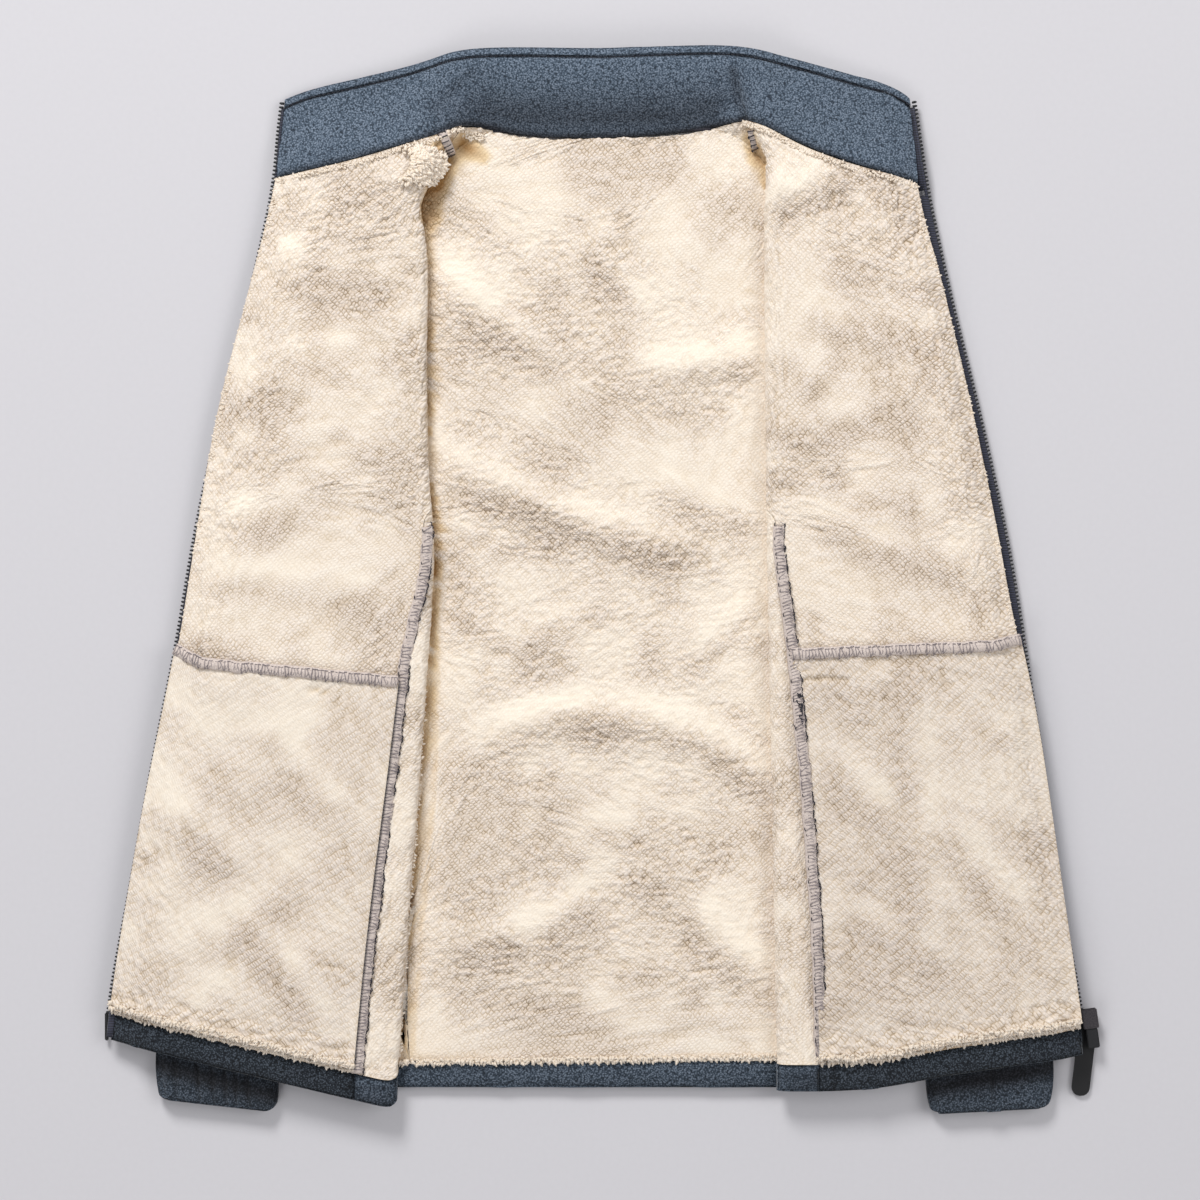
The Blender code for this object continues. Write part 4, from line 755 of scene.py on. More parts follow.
def tuck_folds(piece):
    """Keeps the layer under each folded-over side edge of the back behind the edge of the layer on top."""
    co, normals = points_of(piece)
    mm = co / MM
    rows = np.arange(-336.0, 60.0, 4.0)
    for way in (-1, 1):
        out = -mm[:, 0] * way
        near = (-mm[:, 0] * way > -152) & (-mm[:, 0] * way < -105) & (mm[:, 1] > -336) & (mm[:, 1] < 58)
        edge = np.array([max([-152.0, *out[near & (mm[:, 2] > 15) & (abs(mm[:, 1] - y) < 4.5)]]) for y in rows])
        limit = np.interp(mm[:, 1], rows, edge) - 0.4
        ground = (normals[:, 2] > 0.25) & (mm[:, 2] < 9.5)
        under = near & (mm[:, 2] > 3) & (mm[:, 2] < 15) & ~ground & (out > limit)
        mm[under, 0] = -limit[under] * way
    set_points(piece, mm * MM)


def show_pile(piece):
    """Gives the pile finish to the parts of the other side that show from above, in the neck corners."""
    bm = bmesh.new()
    bm.from_mesh(piece.data)
    own = BVHTree.FromBMesh(bm)
    up, clear = Vector((0, 0, 1)), Vector((0, 0, 0.05 * MM))
    for face in bm.faces:
        above = own.ray_cast(face.calc_center_median() + clear, up, 0.2)[0]
        if face.material_index and above is None:
            face.material_index = 0
    bm.to_mesh(piece.data)
    bm.free()


def rounded(piece, reach, drop):
    """Turns the upper face of a plump band down towards its edges."""
    co, no = points_of(piece)
    rim = co[np.abs(no[:, 2]) < 0.6]
    tree = KDTree(len(rim))
    for n, place in enumerate(rim):
        tree.insert((place[0], place[1], 0), n)
    tree.balance()
    for n in np.flatnonzero(no[:, 2] >= 0.6):
        far = tree.find((co[n, 0], co[n, 1], 0))[2]
        t = max(0.0, 1 - far / reach)
        co[n, 2] -= drop * (1 - math.sqrt(1 - t * t))
    set_points(piece, co)


def round_corners(piece, corners, radius):
    """Pulls the points past a rounded corner back on to its arc, in mm in plan."""
    co, _ = points_of(piece)
    for x, y, way in corners:
        middle = np.array([x - way * radius, y + radius]) * MM
        off = co[:, :2] - middle
        far = np.hypot(off[:, 0], off[:, 1])
        past = (off[:, 0] * way > 0) & (off[:, 1] < 0) & (far > radius * MM)
        co[past, :2] = middle + off[past] * (radius * MM / far[past])[:, None]
    set_points(piece, co)


def darken(piece, lines):
    """Marks painted shade where fleece lies in a crease, against a seam or under an edge that shades it."""
    co, _ = points_of(piece)
    store(piece, "shade", np.clip(1 - grooves(co / MM, lines), 0, 1))


def soften(piece, lines=(), swell=0.45, size=24.0, seed=3):
    """Gives fleece its plump, slightly uneven upper face, with lines sewn or pressed into it."""
    co, no = points_of(piece)
    mm = co / MM
    upward = np.clip((no[:, 2] - 0.15) / 0.5, 0, 1)
    rise = (soft_noise(mm, size, seed) - 0.5) * 2 * swell + (soft_noise(mm, size * 0.4, seed + 1) - 0.5) * swell
    rise = rise - grooves(mm, lines)
    set_points(piece, co + no * (rise * upward * MM)[:, None])


def grooves(mm, lines):
    """Depth of sewn or pressed lines at points, in millimetres; a line is (places, width, depth)."""
    total = np.zeros(len(mm))
    for line, width, depth in lines:
        far, _ = along_line(mm, line)
        total += depth * np.exp(-(far / width) ** 2)
    return total


def border(node, toward, along, reach=SEAM_REACH):
    """The upper edge of a solid where it lies beside another, as points in order along x (0) or y (1)."""
    bm = merged(node)
    upper = one_side(bm)
    found = {}
    for edge in rim_edges(bm):
        if sum(face in upper for face in edge.link_faces) != 1:
            continue
        for vert in edge.verts:
            if tree_of(toward).find_nearest(vert.co, reach)[0] is not None:
                found[vert.index] = vert.co.copy()
    bm.free()
    return sorted(found.values(), key=lambda p: p[along])


def even(line, pitch):
    """Points at an even pitch along a smooth curve through a line's points, and their directions."""
    p = np.array([tuple(q) for q in line], float)
    keep = [0]
    for n in range(1, len(p)):
        if np.linalg.norm(p[n] - p[keep[-1]]) > 2.0 * MM:
            keep.append(n)
    p = p[keep]
    fine = []
    for n in range(len(p) - 1):
        a, b, c, d = p[max(n - 1, 0)], p[n], p[n + 1], p[min(n + 2, len(p) - 1)]
        for t in np.linspace(0, 1, 12, endpoint=False):
            fine.append(0.5 * (2 * b + (c - a) * t + (2 * a - 5 * b + 4 * c - d) * t * t
                               + (3 * b - a - 3 * c + d) * t ** 3))
    fine = np.array(fine + [p[-1]])
    steps = np.linalg.norm(np.diff(fine, axis=0), axis=1)
    run = np.concatenate([[0], np.cumsum(steps)])
    stops = np.arange(0.0, run[-1], pitch)
    points = np.stack([np.interp(stops, run, fine[:, k]) for k in range(3)], 1)
    ahead = np.stack([np.interp(stops + pitch * 0.5, run, fine[:, k]) for k in range(3)], 1)
    behind = np.stack([np.interp(stops - pitch * 0.5, run, fine[:, k]) for k in range(3)], 1)
    way = ahead - behind
    way /= np.maximum(np.linalg.norm(way, axis=1), 1e-9)[:, None]
    return points, way


def axes(way):
    """For each direction, axes across to its right, along it and up, as columns."""
    up = np.broadcast_to(np.array([0.0, 0.0, 1.0]), way.shape)
    right = np.cross(way, up)
    right /= np.maximum(np.linalg.norm(right, axis=1), 1e-9)[:, None]
    rise = np.cross(right, way)
    return np.stack([right, way, rise], 2)


def shape_of(piece):
    """A made shape's points and faces; the piece itself is removed."""
    mesh = piece.data
    co = np.array([tuple(v.co) for v in mesh.vertices], float)
    faces = [tuple(p.vertices) for p in mesh.polygons]
    bpy.data.objects.remove(piece)
    return co, faces


def copies(name, shape, places, frames, material, scales=None, tips=None, extra=()):
    """One piece of many copies of a shape, each with its own points, at places and on axes. Further
    (points, faces) pairs are joined in."""
    co, faces = shape
    points, all_faces, tip = [], [], []
    for n, (place, axis) in enumerate(zip(places, frames)):
        local = co if scales is None else co * scales[n]
        base = len(co) * n
        points.append(local @ axis.T + place)
        all_faces += [tuple(base + i for i in f) for f in faces]
        if tips is not None:
            tip.append(tips)
    points = np.concatenate(points) if points else np.zeros((0, 3))
    for more, more_faces in extra:
        base = len(points)
        points = np.concatenate([points, more])
        all_faces += [tuple(base + i for i in f) for f in more_faces]
    mesh = bpy.data.meshes.new(name)
    mesh.from_pydata([tuple(p) for p in points], [], all_faces)
    mesh.polygons.foreach_set("use_smooth", [True] * len(mesh.polygons))
    piece = bpy.data.objects.new(name, mesh)
    bpy.context.scene.collection.objects.link(piece)
    mesh.materials.append(finishes()[material])
    if tips is not None:
        store(piece, "tip", np.concatenate(tip))
        store(piece, "open", np.full(len(points), 0.9))
        store(piece, "cleft_and_shade", np.full(len(points), 0.35))
        store_vector(piece, "spot", points / MM)
    return piece


def one_piece(name, material, *shapes):
    """One piece of made (points, faces) pairs."""
    return copies(name, (np.zeros((0, 3)), []), [], [], material, extra=shapes)


def flat_tube(points, radius, sides=8, flatness=0.28):
    """A closed tube along points, pressed flat."""
    strip, faces = tube(points, radius, sides)
    middle = np.repeat(points[:, 2], sides)
    strip[:, 2] = middle + (strip[:, 2] - middle) * flatness
    return strip, faces


def tube(points, radius, sides=6):
    """A closed round tube along points; radius is one number or one for each point."""
    p = np.asarray(points, float)
    way = np.gradient(p, axis=0)
    way /= np.maximum(np.linalg.norm(way, axis=1), 1e-12)[:, None]
    frames = axes(way)
    radius = np.broadcast_to(np.asarray(radius, float), (len(p),))
    turns = 2 * math.pi * np.arange(sides) / sides
    ring = np.stack([np.cos(turns), np.zeros(sides), np.sin(turns)], 1)
    co = np.concatenate([(ring * r) @ axis.T + place for r, axis, place in zip(radius, frames, p)])
    faces = []
    for n in range(len(p) - 1):
        for k in range(sides):
            m = (k + 1) % sides
            a, b = n * sides, (n + 1) * sides
            faces.append((a + k, b + k, b + m, a + m))
    faces.append(tuple(range(sides)))
    faces.append(tuple((len(p) - 1) * sides + k for k in reversed(range(sides))))
    return co, faces


def thread_shape(points, thickness, steps):
    """A bent length of thread, drawn as a curve with a round bevel and made a mesh."""
    free_selection()
    bpy.ops.curve.primitive_bezier_curve_add(enter_editmode=False, location=(0, 0, 0))
    piece = bpy.context.object
    spline = piece.data.splines[0]
    spline.bezier_points.add(len(points) - 2)
    for point, place in zip(spline.bezier_points, points):
        point.co = place
        point.handle_left_type = point.handle_right_type = "AUTO"
    piece.data.resolution_u = steps
    piece.data.bevel_depth = thickness / 2
    piece.data.bevel_resolution = 0
    piece.data.use_fill_caps = True
    bpy.ops.object.convert(target="MESH")
    piece = bpy.context.object
    bm = bmesh.new()
    bm.from_mesh(piece.data)
    bmesh.ops.remove_doubles(bm, verts=bm.verts, dist=1e-6)
    bmesh.ops.recalc_face_normals(bm, faces=bm.faces)
    bm.to_mesh(piece.data)
    bm.free()
    return shape_of(piece)


def tuft_shape(length=3.5 * MM, width=2.5 * MM):
    """One tip of pile: a slim four-sided cone, cut across twice and bent over."""
    free_selection()
    bpy.ops.mesh.primitive_cone_add(vertices=4, radius1=width / 2, radius2=width * 0.12, depth=length,
                                    location=(0, length / 2, 0), rotation=(-math.pi / 2, 0, 0))
    piece = bpy.context.object
    bpy.ops.object.transform_apply(location=True, rotation=True, scale=True)
    bpy.ops.object.mode_set(mode="EDIT")
    for share in (0.35, 0.7):
        bpy.ops.mesh.select_all(action="SELECT")
        bpy.ops.mesh.bisect(plane_co=(0, length * share, 0), plane_no=(0, 1, 0))
    bpy.ops.object.mode_set(mode="OBJECT")
    for vert in piece.data.vertices:
        share = vert.co.y / length
        swell = 1.0 + 0.9 * share * (1 - share) * 2
        vert.co.x *= swell
        vert.co.z = vert.co.z * swell * 0.8 + length * (0.34 * share - 0.5 * share * share)
    return shape_of(piece)


def pile_tips(name, lines, outward, material="polyester_sherpa_pile", seed=7, pitch=1.15 * MM, rows=2,
              length=1.0, drop=0.9 * MM, back=2.4 * MM):
    """A fringe of pile tips that leans over an edge. outward is each line's side: 1 is to its right."""
    rng = np.random.default_rng(seed)
    shape = tuft_shape()
    share = np.clip(shape[0][:, 1] / shape[0][:, 1].max(), 0, 1)
    places, frames, scales = [], [], []
    for line, side in zip(lines, outward):
        for row in range(rows):
            points, way = even(line, pitch)
            if not len(points):
                continue
            base = axes(way)
            out = base[:, :, 0] * side
            count = len(points)
            swing = rng.normal(0, 0.75, count)
            lift = rng.uniform(-0.15, 0.65, count)
            heading = (out * np.cos(swing)[:, None] + base[:, :, 1] * np.sin(swing)[:, None])
            heading = heading * np.cos(lift)[:, None] + base[:, :, 2] * np.sin(lift)[:, None]
            places.append(points - out * (back + rng.uniform(-0.9, 0.9, count)[:, None] * MM + row * 1.7 * MM)
                          + base[:, :, 2] * (-drop + row * 0.55 * MM)
                          + way * rng.uniform(-0.5, 0.5, count)[:, None] * pitch)
            frames.append(axes(heading))
            scales.append(rng.uniform(0.62, 1.22, count) * length)
    places, frames, scales = np.concatenate(places), np.concatenate(frames), np.concatenate(scales)
    # painted shade: each tip darkens towards its root
    return copies(name, shape, places, frames, material, scales, 0.62 + 0.38 * share)


def goes_with(piece, slot, *nodes):
    """Puts a piece on the jacket, in place of its solids. slot is not used."""
    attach(piece, "jacket")
    if nodes:
        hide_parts(*nodes)


# ---------------------------------------------------------------- sizes and colours a user may change

def colour_property(name, code, description):
    """A colour that a user may change, from its sRGB code."""
    return FloatVectorProperty(name=name, description=description, default=linear(code)[:3], subtype="COLOR",
                               size=3, min=0, max=1)


class JacketPile(bpy.types.PropertyGroup):
    """Sizes and colours of the pile."""
    depth: FloatProperty(name="Pile depth", description="Height of a lock of the curly pile above its roots",
                         default=1.5 * MM, unit="LENGTH")
    lock_length: FloatProperty(name="Lock length", description="Length of one lock of the curly pile",
                               default=7.4 * MM, unit="LENGTH")
    lock_width: FloatProperty(name="Lock width", description="Width of one lock of the curly pile",
                              default=4.2 * MM, unit="LENGTH")
    tip_colour: colour_property("Tips", "#ede1d2", "Colour of the pile's tips")
    middle_colour: colour_property("Sides", "#d6c5ac", "Colour of the sides of the locks")
    # painted shade: the colour of the clefts and roots between the locks
    root_shade_colour: colour_property("Roots", "#7c6646", "Colour between the locks")
    # painted shade: the warm brown of pile in hollows that little light reaches
    hollow_shade_colour: colour_property("Deep pile", "#b08d5e", "Colour of pile that lies deep in a fold")


class JacketFleece(bpy.types.PropertyGroup):
    """Sizes and colours of the fleece."""
    pebble: FloatProperty(name="Pebble", description="Width of one knot of the fleece's face",
                          default=1.25 * MM, unit="LENGTH")
    light_colour: colour_property("Light", "#7d8998", "Colour on top of the knots")
    middle_colour: colour_property("Middle", "#4b5968", "Colour of the knots' sides")
    dark_colour: colour_property("Dark", "#29323d", "Colour between the knots")


class JacketStitching(bpy.types.PropertyGroup):
    """Sizes of the seams and threads."""
    overlock_pitch: FloatProperty(name="Overlock pitch", description="Step from one overlock loop to the next",
                                  default=2.4 * MM, unit="LENGTH")
    overlock_width: FloatProperty(name="Overlock width", description="Width of an overlocked edge",
                                  default=7.6 * MM, unit="LENGTH")
    thread: FloatProperty(name="Thread", description="Thickness of the sewing thread as it shows",
                          default=0.5 * MM, unit="LENGTH")


class JacketZip(bpy.types.PropertyGroup):
    """Sizes and colours of the zip."""
    pitch: FloatProperty(name="Tooth pitch", description="Step from one tooth to the next",
                         default=2.9 * MM, unit="LENGTH")
    tooth_width: FloatProperty(name="Tooth width", description="Size of a tooth along the chain",
                               default=1.6 * MM, unit="LENGTH")
    tape_colour: colour_property("Tape", "#343648", "Colour of the zip tape")


class JacketStage(bpy.types.PropertyGroup):
    """The camera, the floor and the light."""
    camera_height: FloatProperty(name="Camera height", description="Height of the camera above the floor",
                                 default=2.4, unit="LENGTH")
    view_width: FloatProperty(name="View width", description="Width of floor that the camera sees",
                              default=0.864, unit="LENGTH")
    floor_colour: colour_property("Floor", "#cccacd", "Colour of the floor")
    power: FloatProperty(name="Light", description="Strength of the main light, in watts", default=118.0)


# ---------------------------------------------------------------- operators

def curly(context, piece, lean, spread, seed, **more):
    """Raises curly pile in the stated lock sizes."""
    pile = context.scene.jacket_pile
    raise_pile(piece, pile.depth, 3.8, pile.lock_length / MM / 2, pile.lock_width / MM / 2, lean, spread, seed,
               **more)


class JACKET_OT_back(bpy.types.Operator):
    """The back panel: curly pile above, fleece below"""
    bl_idname = "jacket.back"
    bl_label = "Back panel"

    def execute(self, context):
        piece = cloth_piece("back", "back_panel", ("polyester_sherpa_pile", "polyester_fleece"), 2, 2)
        curly(context, piece, math.radians(45), 1.6, 11, folds=BACK_FOLDS, deep=HOLLOW_SHADES)
        tuck_folds(piece)
        show_pile(piece)
        goes_with(piece, "pile", "back")
        return {"FINISHED"}


class JACKET_OT_fronts(bpy.types.Operator):
    """The two front panels, opened outwards: curly pile above, fleece below"""
    bl_idname = "jacket.fronts"
    bl_label = "Front panels"

    def execute(self, context):
        for side, sign in SIDES:
            piece = cloth_piece(f"front_{side}", f"front_panel_{side}",
                                ("polyester_sherpa_pile", "polyester_fleece"), 2, 2)
            curly(context, piece, math.radians(-48 if sign > 0 else 48), 1.5, 31 + sign,
                  folds=FRONT_FOLDS[side], deep=HOLLOW_SHADES, worn=0.1)
            show_pile(piece)
            goes_with(piece, "pile", f"front_{side}")
        return {"FINISHED"}


class JACKET_OT_pocket_bags(bpy.types.Operator):
    """The two pocket bags: longer pile brushed smooth, with a curly strip along the hem"""
    bl_idname = "jacket.pocket_bags"
    bl_label = "Pocket bags"

    def execute(self, context):
        pile = context.scene.jacket_pile
        for side, sign in SIDES:
            piece = cloth_piece(f"pocket_bag_{side}", f"pocket_lining_{side}",
                                (f"brushed_pocket_pile_{side}", "polyester_fleece", "polyester_sherpa_pile"),
                                2, 3)
            hem = [(p.x / MM, p.y / MM) for p in border(f"hem_{side}", f"front_{side}", 0, 2.5 * MM)]

            def strip(mm, hem=hem, seed=sign):
                far, _ = along_line(mm, hem)
                ragged = (soft_noise(mm, 9.0, 400 + seed) - 0.5) * STRIP_RAGGED
                return np.clip((STRIP_WIDTH + ragged - far) / STRIP_FADE, 0, 1)

            raise_pile(piece, pile.depth * 0.7, 4.4, pile.lock_length / MM * 0.9, pile.lock_width / MM * 0.55,
                       math.radians(-47 if sign > 0 else -58), 0.5, 51 + sign, lines=BARTACKS[side],
                       strip=strip, folds=BAG_FOLDS[side], brushed=1.0, worn=0.12 if sign > 0 else -0.08)
            middles = np.array([tuple(p.center) for p in piece.data.polygons]) / MM
            finish = np.zeros(len(middles), int)
            piece.data.polygons.foreach_get("material_index", finish)
            finish[(finish == 0) & (strip(middles) > 0.5)] = 2
            piece.data.polygons.foreach_set("material_index", finish)
            goes_with(piece, "pocket_pile", f"pocket_bag_{side}")
        return {"FINISHED"}


class JACKET_OT_sleeves(bpy.types.Operator):
    """The sleeves and their gathered cuffs, flat under the fronts"""
    bl_idname = "jacket.sleeves"
    bl_label = "Sleeves and cuffs"

    def execute(self, context):
        for side, _ in SIDES:
            piece = cloth_piece(f"sleeve_{side}", f"sleeve_tube_{side}", ("polyester_fleece",), 2, 0,
                                sides=False)
            goes_with(piece, "fleece", f"sleeve_{side}")
            piece = cloth_piece(f"cuff_{side}", f"cuff_band_{side}", ("polyester_fleece_cuff",), 2, 2,
                                sides=False)
            soften(piece, GATHERS[side], 0.5, 15.0, 17)
            rounded(piece, 8 * MM, 3.2 * MM)
            round_corners(piece, CUFF_CORNERS[side], 9.0)
            # painted shade in the gathers, and the hem's painted shadow across the top of the cuff
            darken(piece, [(line, width * 1.2, depth * 0.2) for line, width, depth in GATHERS[side]]
                   + [(CUFF_SHADES[side], 10.0, 0.95)])
            goes_with(piece, "fleece", f"cuff_{side}")
        return {"FINISHED"}


class JACKET_OT_collar(bpy.types.Operator):
    """The two layers of the stand collar, the outer one turned over the top as a binding"""
    bl_idname = "jacket.collar"
    bl_label = "Collar"

    def execute(self, context):
        for layer in ("inner", "outer"):
            piece = cloth_piece(f"collar_{layer}", f"collar_{layer}_layer", ("polyester_fleece",), 2, 1,
                                sides=False)
            binding = [(p.x / MM, p.y / MM) for p in binding_seam()]
            soften(piece, COLLAR_PRESSES + ((binding, 0.9, 1.5),), 0.6, 20.0, 5)
            rounded(piece, 6 * MM, 1.6 * MM)
            # painted shade in the creases, under the binding and along the neck seam
            darken(piece, COLLAR_SHADES + ((binding, 0.9, 0.5), (neck_seam(), 3.2, 0.75)))
            goes_with(piece, "fleece", f"collar_{layer}")
        return {"FINISHED"}


class JACKET_OT_hem(bpy.types.Operator):
    """The three hem bands"""
    bl_idname = "jacket.hem"
    bl_label = "Hem bands"

    def execute(self, context):
        for part in ("right", "back", "left"):
            finish = "polyester_fleece_band" if part == "back" else "polyester_fleece_front_hem"
            piece = cloth_piece(f"hem_{part}", f"hem_band_{part}", (finish,), 3, 1, sides=False)
            soften(piece, HEM_JOINS, 0.5, 22.0, 9)
            rounded(piece, 9 * MM, 3.6 * MM)
            # painted shade in the seams where the bands join
            darken(piece, HEM_JOINS)
            if part == "back":
                co, _ = points_of(piece)
                co[:, 1] += np.clip((abs(co[:, 0]) - 0.195) / 0.012, 0, 1) * 4.0 * MM
                set_points(piece, co)
                # painted shade in the joins, and the front bands' painted shadow on the back band
                darken(piece, HEM_JOINS + HEM_END_SHADES)
            goes_with(piece, "fleece", f"hem_{part}")
        return {"FINISHED"}


# The overlocked seams of each side in turn; the shoulder's is sewn with longer and smaller stitches
KINDS_OF_SEAM = ("side", "pocket", "shoulder")
SHOULDER_PITCH, SHOULDER_SIZE = 1.5, 0.8
OVERLOCK_RISE = 1.5 * MM
# How far the side seams' trimmed edges lie over towards the wearer's left
SEAM_ASIDE = {"right": 2.8 * MM, "left": 1.4 * MM}


def seam_lines():
    """The overlocked edges that show, as lines of points: side seams, pocket tops and shoulder ends. Each
    runs so that its trimmed edge is on its right."""
    lines = []
    for side, _ in SIDES:
        seam = [p for p in border(f"front_{side}", "back", 1) if p.y < 57 * MM]
        seam = [p for p in seam if top_at(p.x, p.y) - p.z < 3 * MM]
        seam = [p + Vector((SEAM_ASIDE[side], 0, 0)) for p in seam]
        high = np.array([top_at(p.x, p.y, default=p.z) for p in seam])
        high = np.convolve(np.pad(high, 2, "edge"), np.ones(5) / 5, "valid")
        lines.append([Vector((p.x, p.y, z)) for p, z in zip(seam, high)])
        lines.append(border_of_top(f"pocket_bag_{side}"))
        lines.append(on_top(SHOULDER_ENDS[side]))
    return lines


def border_of_top(node):
    """The upper edge of a solid on its side towards +Y, in order along x."""
    bm = merged(node)
    upper = one_side(bm)
    found = {}
    for edge in rim_edges(bm):
        faces = edge.link_faces
        if sum(face in upper for face in faces) != 1:
            continue
        rim = faces[1] if faces[0] in upper else faces[0]
        if rim.normal.y > 0.75:
            for vert in edge.verts:
                found[vert.index] = vert.co.copy()
    bm.free()
    return sorted(found.values(), key=lambda p: p.x)


class JACKET_OT_overlock(bpy.types.Operator):
    """The overlocked seam edges: a trimmed edge of cloth wrapped in loops of thread"""
    bl_idname = "jacket.overlock"
    bl_label = "Overlocked seams"

    def execute(self, context):
        sizes = context.scene.jacket_stitching
        width, pitch, thread = sizes.overlock_width, sizes.overlock_pitch, sizes.thread
        rise = OVERLOCK_RISE
        over = thread_shape([(-0.40 * width, 0, rise * 0.85), (0, 0.30 * pitch, rise * 1.25),
                             (0.40 * width, 0.52 * pitch, rise * 0.9),
                             (0.53 * width, 0.60 * pitch, -rise * 0.2)], thread, 2)
        back = thread_shape([(0.52 * width, 0.62 * pitch, 0), (0.30 * width, 0.95 * pitch, rise * 1.15),
                             (0.02 * width, 1.20 * pitch, rise * 1.2)], thread * 0.85, 2)
        lock = thread_shape([(0.47 * width, -0.1 * pitch, rise * 0.75),
                             (0.56 * width, 0.45 * pitch, rise * 0.45),
                             (0.47 * width, pitch, rise * 0.75)], thread * 1.6, 2)
        needle = thread_shape([(-0.42 * width, -0.1 * pitch, rise * 0.55), (-0.44 * width, 0.35 * pitch, rise),
                               (-0.42 * width, 0.78 * pitch, rise * 0.55)], thread * 1.15, 2)
        rung = thread_shape([(-0.50 * width, 0, rise), (0, 0.1 * pitch, rise * 1.4),
                             (0.50 * width, 0.2 * pitch, rise)], thread * 2.1, 2)
        rng = np.random.default_rng(5)
        places, frames, bands, sewn, short = [], [], [], [], []
        for n, line in enumerate(seam_lines()):
            kind = KINDS_OF_SEAM[n % 3]
            points, way = even(line, pitch * (SHOULDER_PITCH if kind == "shoulder" else 1))
            if len(points) < 3:
                continue
            frame_here = axes(way)
            if kind == "shoulder":
                frame_here = frame_here * SHOULDER_SIZE
            wobble = (soft_noise(points / MM, 7.0, 300 + n) - 0.5) * 1.6 * MM
            points = points + frame_here[:, :, 0] * wobble[:, None] + np.array([0, 0, 0.2 * MM])
            places.append(points)
            frames.append(frame_here)
            sewn += [kind != "pocket"] * len(points)
            short += [kind == "shoulder"] * len(points)
            bands.append(band_of(points, frame_here, width, rise, 500 + n))
        goes_with(one_piece("seam_allowances", "trimmed_cloth_edge", *bands), "pile")
        places, frames = np.concatenate(places), np.concatenate(frames)
        loose = rng.uniform(0.82, 1.14, len(places))
        turned = frames.copy()
        for n, turn in enumerate(rng.normal(0, 0.16, len(frames))):
            turned[n] = frames[n] @ np.array(Matrix.Rotation(turn, 3, "Z"))
        sewn, short = np.array(sewn) & (soft_noise(places / MM, 9.0, 320) > 0.36), np.array(short)
        for name, shape, material, keep in (
                ("overlock_loops", over, "grey_thread", (rng.random(len(places)) < 0.93) & ~short),
                ("shoulder_overlock_loops", rung, "navy_thread", short),
                ("overlock_returns", back, "grey_thread", rng.random(len(places)) < 0.7),
                ("overlock_edge_thread", lock, "navy_thread", sewn),
                ("overlock_needle_thread", needle, "navy_thread", (rng.random(len(places)) < 0.3) & sewn),
                ("pocket_needle_thread", needle, "grey_thread", ~sewn & ~short)):
            goes_with(copies(name, shape, places[keep], turned[keep], material, loose[keep]), "fleece")
        return {"FINISHED"}


def band_of(points, frames, width, rise, seed):
    """A low domed band of cloth along points, with an uneven outer edge."""
    profile = np.array([(-0.62, -0.9), (-0.56, 0.35), (-0.15, 0.95), (0.15, 1.0), (0.42, 0.75), (0.50, 0.1),
                        (0.46, -0.6)])
    rough = 0.85 + 0.35 * soft_noise(points / MM, 3.0, seed)
    high = 0.85 + 0.35 * soft_noise(points / MM, 4.0, seed + 1)
    rings = []
    for place, axis, r, h in zip(points, frames, rough, high):
        x = profile[:, 0] * width * np.where(profile[:, 0] > 0.2, r, 1.0)
        local = np.stack([x, np.zeros(len(x)), profile[:, 1] * rise * h], 1)
        rings.append(local @ axis.T + place)
    count = len(profile)
    faces = []
    for n in range(len(rings) - 1):
        for k in range(count):
            m = (k + 1) % count
            a, b = n * count, (n + 1) * count
            faces.append((a + k, a + m, b + m, b + k))
    faces.append(tuple(reversed(range(count))))
    faces.append(tuple((len(rings) - 1) * count + k for k in range(count)))
    return np.concatenate(rings), faces


STITCH_PITCH = 3.4 * MM


class JACKET_OT_stitching(bpy.types.Operator):
    """The straight stitching along the collar's binding, and a snarl of loose thread"""
    bl_idname = "jacket.stitching"
    bl_label = "Straight stitching"

    def execute(self, context):
        thread = context.scene.jacket_stitching.thread
        pitch = STITCH_PITCH
        stitch = thread_shape([(0, -0.36 * pitch, -0.3 * MM), (0, -0.12 * pitch, 0.28 * MM),
                               (0, 0.14 * pitch, 0.28 * MM), (0, 0.36 * pitch, -0.3 * MM)], thread * 1.2, 1)
        line = [p + Vector((0, -0.2 * MM, -0.5 * MM)) for p in binding_seam()]
        points, way = even(line, pitch)
        goes_with(copies("straight_stitches", stitch, points, axes(way), "navy_thread"), "fleece")
        goes_with(one_piece("thread_tangle", "navy_thread", tangled_thread(thread)), "fleece")
        return {"FINISHED"}


def tangled_thread(thread):
    """A snarl of loose thread caught in the wearer's left side seam."""
    rng = np.random.default_rng(77)
    steps = np.cumsum(rng.normal(0, 1, (90, 2)) * (1.5, 1.2), axis=0)
    steps -= np.linspace(0, 1, 90)[:, None] * steps[-1]
    x = 140.5 + np.clip(steps[:, 0] * 0.9, -4.5, 4.5)
    y = np.linspace(-66, -89, 90) + np.clip(steps[:, 1], -4, 4)
    fine = np.linspace(0, 89, 320)
    x, y = (np.interp(fine, np.arange(90), v) for v in (x, y))
    z = [top_at(a * MM, b * MM, default=0.02) / MM for a, b in zip(x, y)]
    z = np.array(z) + 0.9 + 0.9 * soft_noise(np.stack([x, y, fine], 1), 2.0, 78)
    z = np.convolve(np.pad(z, 4, "edge"), np.ones(9) / 9, "valid")
    return tube(np.stack([x, y, z], 1) * MM, thread * 0.8, 5)


def on_top(places, lift=0.0, nodes=()):
    """Places in mm, set on the solids below them."""
    return [Vector((x * MM, y * MM, top_at(x * MM, y * MM, *nodes, default=0.02) + lift)) for x, y in places]


